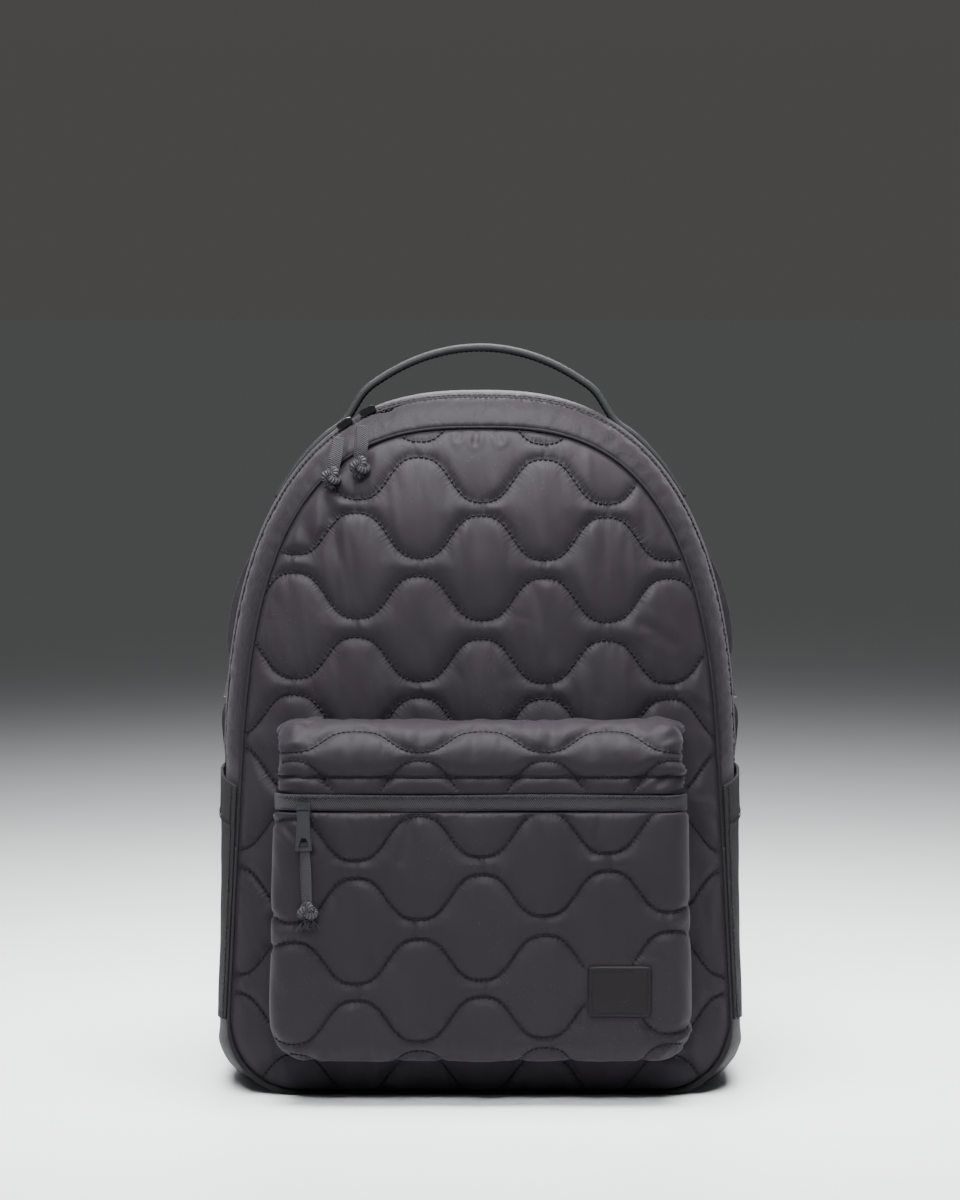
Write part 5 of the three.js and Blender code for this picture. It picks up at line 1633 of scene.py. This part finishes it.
# %% The handle
handle_span, handle_wall, handle_width, handle_apex = 162.0, 4.6, 24.0, 439.6
handle_spring, stitch_edge = 0.62, 9.2
foot_z = top_place(handle_span / 2, 4.15)[2]
foot_steps = [119.0, 109.0, 100.0, 90.0]
arch = []
for share in np.linspace(0, 1, 15):
    x = handle_span * (share - 0.5)
    lift = math.sin(math.pi * share) ** handle_spring
    arch.append([x, top_place(x, 0)[1], foot_z + (handle_apex - foot_z) * lift])
left_foot = [top_place(-x, 2.0) for x in foot_steps]
right_foot = [top_place(x, 2.4) for x in reversed(foot_steps)]
path = smooth_path([*left_foot, *arch, *right_foot], 170)
share = np.linspace(0, 1, len(path))
thick = 0.62 + 0.38 * smooth(np.minimum(share, 1 - share) / 0.2)
section = pill(handle_width, handle_wall, 24, 0.42)
section[:, 1] *= 1 - 0.22 * np.exp(-(((np.abs(section[:, 0]) - stitch_edge) / 1.1) ** 2))
scale = np.stack([np.ones(len(path)), thick], 1)
points, faces, data = sweep(path, everywhere(rearward, path), section, scale=scale)
grab_handle = make_piece(
    "grab_handle", points, faces, handle_cloth, ["carry_handle"], data
)
ahead = np.gradient(path, axis=0)
outward = np.cross(rearward, ahead)
outward /= np.linalg.norm(outward, axis=1, keepdims=True)
handle_stitches = []
for edge in (-stitch_edge, stitch_edge):
    line = path + [0, edge, 0] + outward * (thick * handle_wall / 2 * 0.83)[:, None]
    handle_stitches += along_line(line, outward, 3.0)
box = np.linspace(-stitch_edge, stitch_edge, 12)[:, None] * rearward
for place in (2, 16, len(path) - 17, len(path) - 3):
    line = path[place] + box + outward[place] * thick[place] * handle_wall / 2 * 0.9
    handle_stitches += along_line(line, everywhere(outward[place], line), 3.0)
sew("handle_stitches", handle_stitches, 0.34)

# %% [markdown]
# ## Shoulder straps
#
# A pad is a curved cushion, widest over the collar bone and narrow at its end. Its edge is bound
# and thinner than its middle. Below it hangs a ladder lock, the plastic buckle of the webbing,
# which is kept as the frame has it with its edges rounded. The webbing comes over the lock's
# lower bar and runs down to the side of the base.

# %% Pads, buckles and webbing
pad_rows = np.array(
    [
        # down, out, off, wide
        (0.0, 0.24, 0.0, 0.8),
        (0.14, 0.36, 0.55, 0.95),
        (0.34, 0.56, 0.95, 1.0),
        (0.58, 0.74, 1.0, 1.0),
        (0.8, 0.84, 0.85, 0.9),
        (1.0, 0.89, 0.62, 0.62),
    ]
)
pad_top, pad_end, pad_bow, pad_wall, pad_width = 372.0, 240.0, 26.0, 10.0, 62.0
web_width, web_wall, lock_height, anchor_height = 25.0, 1.6, 23.0, 34.0
body_width, web_lead = 310.0, 12.0


def back_at(x, z):
    return float(back_face(np.array([[x, z]]))[0])


for side, sign in (("left", -1), ("right", 1)):
    t = np.linspace(0, 1, 18)
    rows = smooth_path(pad_rows, 18)
    down, out, off, wide = rows.T
    x = sign * out * body_width / 2
    z = pad_top + (pad_end - pad_top) * down
    behind = np.array([back_at(a * 0.6, b - 15) for a, b in zip(x, z)])
    y = behind + seam_gap + pad_wall / 2 - 0.5 + pad_bow * off
    rough_path = np.stack([x, y, z], 1)
    path = smooth_path(rough_path, 110)
    share = np.linspace(0, 1, len(path))
    wide = np.interp(share, t, wide)
    thick = np.minimum(0.3 + 0.7 * smooth(share / 0.16), 0.45 + 0.55 * smooth((1 - share) / 0.12))
    from_end = np.clip(np.minimum(share, 1 - share) / 0.035, 0, 1)
    rounding = np.sqrt(1 - (1 - from_end) ** 2 * 0.5)
    section = pill(pad_width, pad_wall, 44, 0.5)
    lip = smooth((np.abs(section[:, 0]) - 24.5) / 2.0)
    section[:, 1] *= 1 - 0.62 * lip
    rng = np.random.default_rng(7)
    ripple = np.convolve(rng.normal(0, 0.05, len(path) + 6), np.ones(7) / 2.6, "valid")
    scale = np.stack([wide * rounding, thick * (1 + ripple)], 1)
    sideways = everywhere(rightward, path)
    points, faces, data = sweep(path, sideways, section, scale=scale)
    node = f"strap_pad_{side}"
    pad = make_piece(f"shoulder_pad_{side}", points, faces, shaded_shell_nylon, [node], data)
    ahead = np.gradient(path, axis=0)
    ahead /= np.linalg.norm(ahead, axis=1, keepdims=True)
    across = sideways - ahead * (sideways * ahead).sum(1, keepdims=True)
    across /= np.linalg.norm(across, axis=1, keepdims=True)
    up = np.cross(ahead, across)
    if up[:, 1].mean() < 0:
        up = -up
    edge_stitches = []
    for edge in (-1, 1):
        line = path + across * (edge * 26.6 * wide * rounding)[:, None] + up * (thick * 1.95)[:, None]
        edge_stitches += along_line(line[3:-3], up[3:-3], 3.0)
    sew(f"pad_stitches_{side}", edge_stitches, 0.32)

    end = rough_path[-1]
    slope = end - rough_path[-2]
    slope /= np.linalg.norm(slope)
    web_start = end + slope * (lock_height + 2.5) + [0, 0.9, 0]
    anchor_x = sign * ((body_width - web_width) / 2 - 12)
    anchor_y = back_at(anchor_x - sign * web_width, anchor_height) + seam_gap + web_wall / 2
    way = np.array([anchor_x, anchor_y, anchor_height]) - web_start
    stops = [
        end + slope * (lock_height * 0.72) + [0, 0.2, 0],
        end + slope * (lock_height * 0.9) + [0, 2.3, 0],
        web_start,
        web_start + slope * web_lead,
        web_start + way * [0.3, 0.35, 0.4],
        web_start + way * [0.7, 0.85, 0.78],
        web_start + way,
    ]
    path = smooth_path(stops, 110)
    section = pill(web_width, web_wall, 20, 0.25)
    points, faces, data = sweep(path, everywhere(rightward, path), section)
    make_piece(f"webbing_{side}", points, faces, tape, [f"strap_web_{side}"], data)

for node in ("ladder_lock_left", "ladder_lock_right"):
    keep_solid(node, plastic, edge=0.0006)

# %% [markdown]
# ## Sliders and pulls
#
# The sliders and the pocket's puller are small castings, so the frame's own solids stay, with
# softened edges and plated metal. Each carries a doubled tape that ends in an overhand knot and a
# frayed tail. The knot is swept along a trefoil, the closed curve of that very knot, and each
# thread of the tail is a short thin tube that bends its own way.

# %% Metal parts
for node in ("main_slider_low", "main_slider_high", "pocket_slider", "pocket_puller"):
    keep_solid(node, metal, edge=0.0005)


# %% A knotted tape
knot_size, strands_in_tail = (1.5, 1.3, 1.2), 34


def join(parts):
    """One mesh from several swept parts, each a (points, faces, data) of its own."""
    counts = np.cumsum([0] + [len(points) for points, _, _ in parts])
    every = [
        tuple(i + first for i in face) for first, part in zip(counts, parts) for face in part[1]
    ]
    points, flat = (np.concatenate(row) for row in zip(*((p, d["thread"]) for p, _, d in parts)))
    return points, every, {"thread": flat}


def knotted_tape(name, node, start, end, sag, across, width=5.4, tail=1.0, seed=1):
    """Two strands of tape from start down to a knot before end, and a frayed tail."""
    start, end, across = (np.asarray(value, float) for value in (start, end, across))
    length = float(np.linalg.norm(end - start))
    along = (end - start) / length
    across = across - along * (across @ along)
    across /= np.linalg.norm(across)
    front = np.cross(along, across)
    if front[1] > 0:
        front = -front
    knot_at = start + along * (length - 11.0)
    rng = np.random.default_rng(seed)
    parts = []
    for lift, lean in ((1.05, 0.5), (-0.35, -0.6)):
        stops = [
            start + front * lift,
            start + along * length * 0.35 + front * (lift + sag) + across * lean,
            knot_at - along * 3 + front * (lift * 0.7) + across * lean * 0.5,
            knot_at + front * 0.6,
        ]
        path = smooth_path(stops, 40)
        twist = across + front * 0.12 * lean
        parts.append(sweep(path, everywhere(twist, path), pill(width, 1.15, 14, 0.3)))
    turn = np.linspace(0, 2 * math.pi, 90, endpoint=False)
    trefoil = [
        np.sin(turn) + 2 * np.sin(2 * turn),
        np.cos(turn) - 2 * np.cos(2 * turn),
        -np.sin(3 * turn),
    ]
    path = knot_at + np.zeros((len(turn), 3))
    for shape, size, direction in zip(trefoil, knot_size, (across, along, front)):
        path = path + shape[:, None] * size * direction
    path = path + front * 0.8
    parts.append(sweep(path, everywhere(front, path), pill(3.4, 4.3, 12, 0.6), closed=True))
    for _ in range(strands_in_tail):
        root = knot_at + along * 3.5 + across * rng.uniform(-2.2, 2.2) + front * rng.uniform(-0.6, 1.2)
        away = along * rng.uniform(5.0, 8.5) * tail
        away = away + across * rng.normal(0, 2.4 * tail) + front * rng.normal(0.2, 0.7)
        halfway = root + away * 0.5 + across * rng.normal(0, 0.5)
        path = smooth_path([root, halfway, root + away], 7)
        parts.append(sweep(path, everywhere(front, path), pill(0.62, 0.62, 5, 1.0)))
    points, faces, data = join(parts)
    return make_piece(name, points, faces, band_tape, [node], data)


print("tape maker ready")


# %% The three pulls
def cloth_front(cloth, x, z, reach=5.0):
    """The foremost point of a settled cloth near a place."""
    near = np.hypot(cloth[:, 0] - x, cloth[:, 2] - z) < reach
    return float(cloth[near, 1].min())


pull_places = [
    # which, how far round from the slider, where its knotted end lies, seed
    ("low", 0.012, -89.0, 355.0, 3),
    ("high", -0.012, -71.0, 361.0, 5),
]
for place, step, x, z, seed in pull_places:
    start = on_gusset(slider_at + step, 0.1, 3.6) + [-3.0, 0.0, -0.5]
    end = np.array([x, cloth_front(panel_cloth, x, z) - 1.2, z])
    start[1] = min(start[1], cloth_front(panel_cloth, start[0] + 6, 380) - 1.0)
    shape = {"sag": 1.4, "across": (0.95, 0.1, 0.25), "width": 7.0, "tail": 0.55, "seed": seed}
    knotted_tape(f"zip_pull_{place}", f"main_pull_{place}", start, end, **shape)

pull_x, puller_foot, pocket_pull_end = -101.3, 152.0, 105.5
face_front = cloth_front(pocket_cloth, pull_x, 130, reach=22)
start = (pull_x, face_front - 1.4, puller_foot + 4.5)
end = (pull_x + 2.0, face_front - 0.6, pocket_pull_end)
knotted_tape("pocket_zip_pull", "pocket_pull", start, end, sag=0.5, across=rightward, seed=9)

# %% [markdown]
# ## Finish
#
# Cloth may stand a little proud of the frame. The sizes of the frame and of the dressed pack are
# printed side by side.

# %% Write the sizes and finish
made_box = [list(corner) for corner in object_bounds()]
for label, box in (("frame", frame_box), ("dressed", made_box)):
    print(label, [round((high - low) * 1000, 1) for low, high in zip(*box)], "mm")
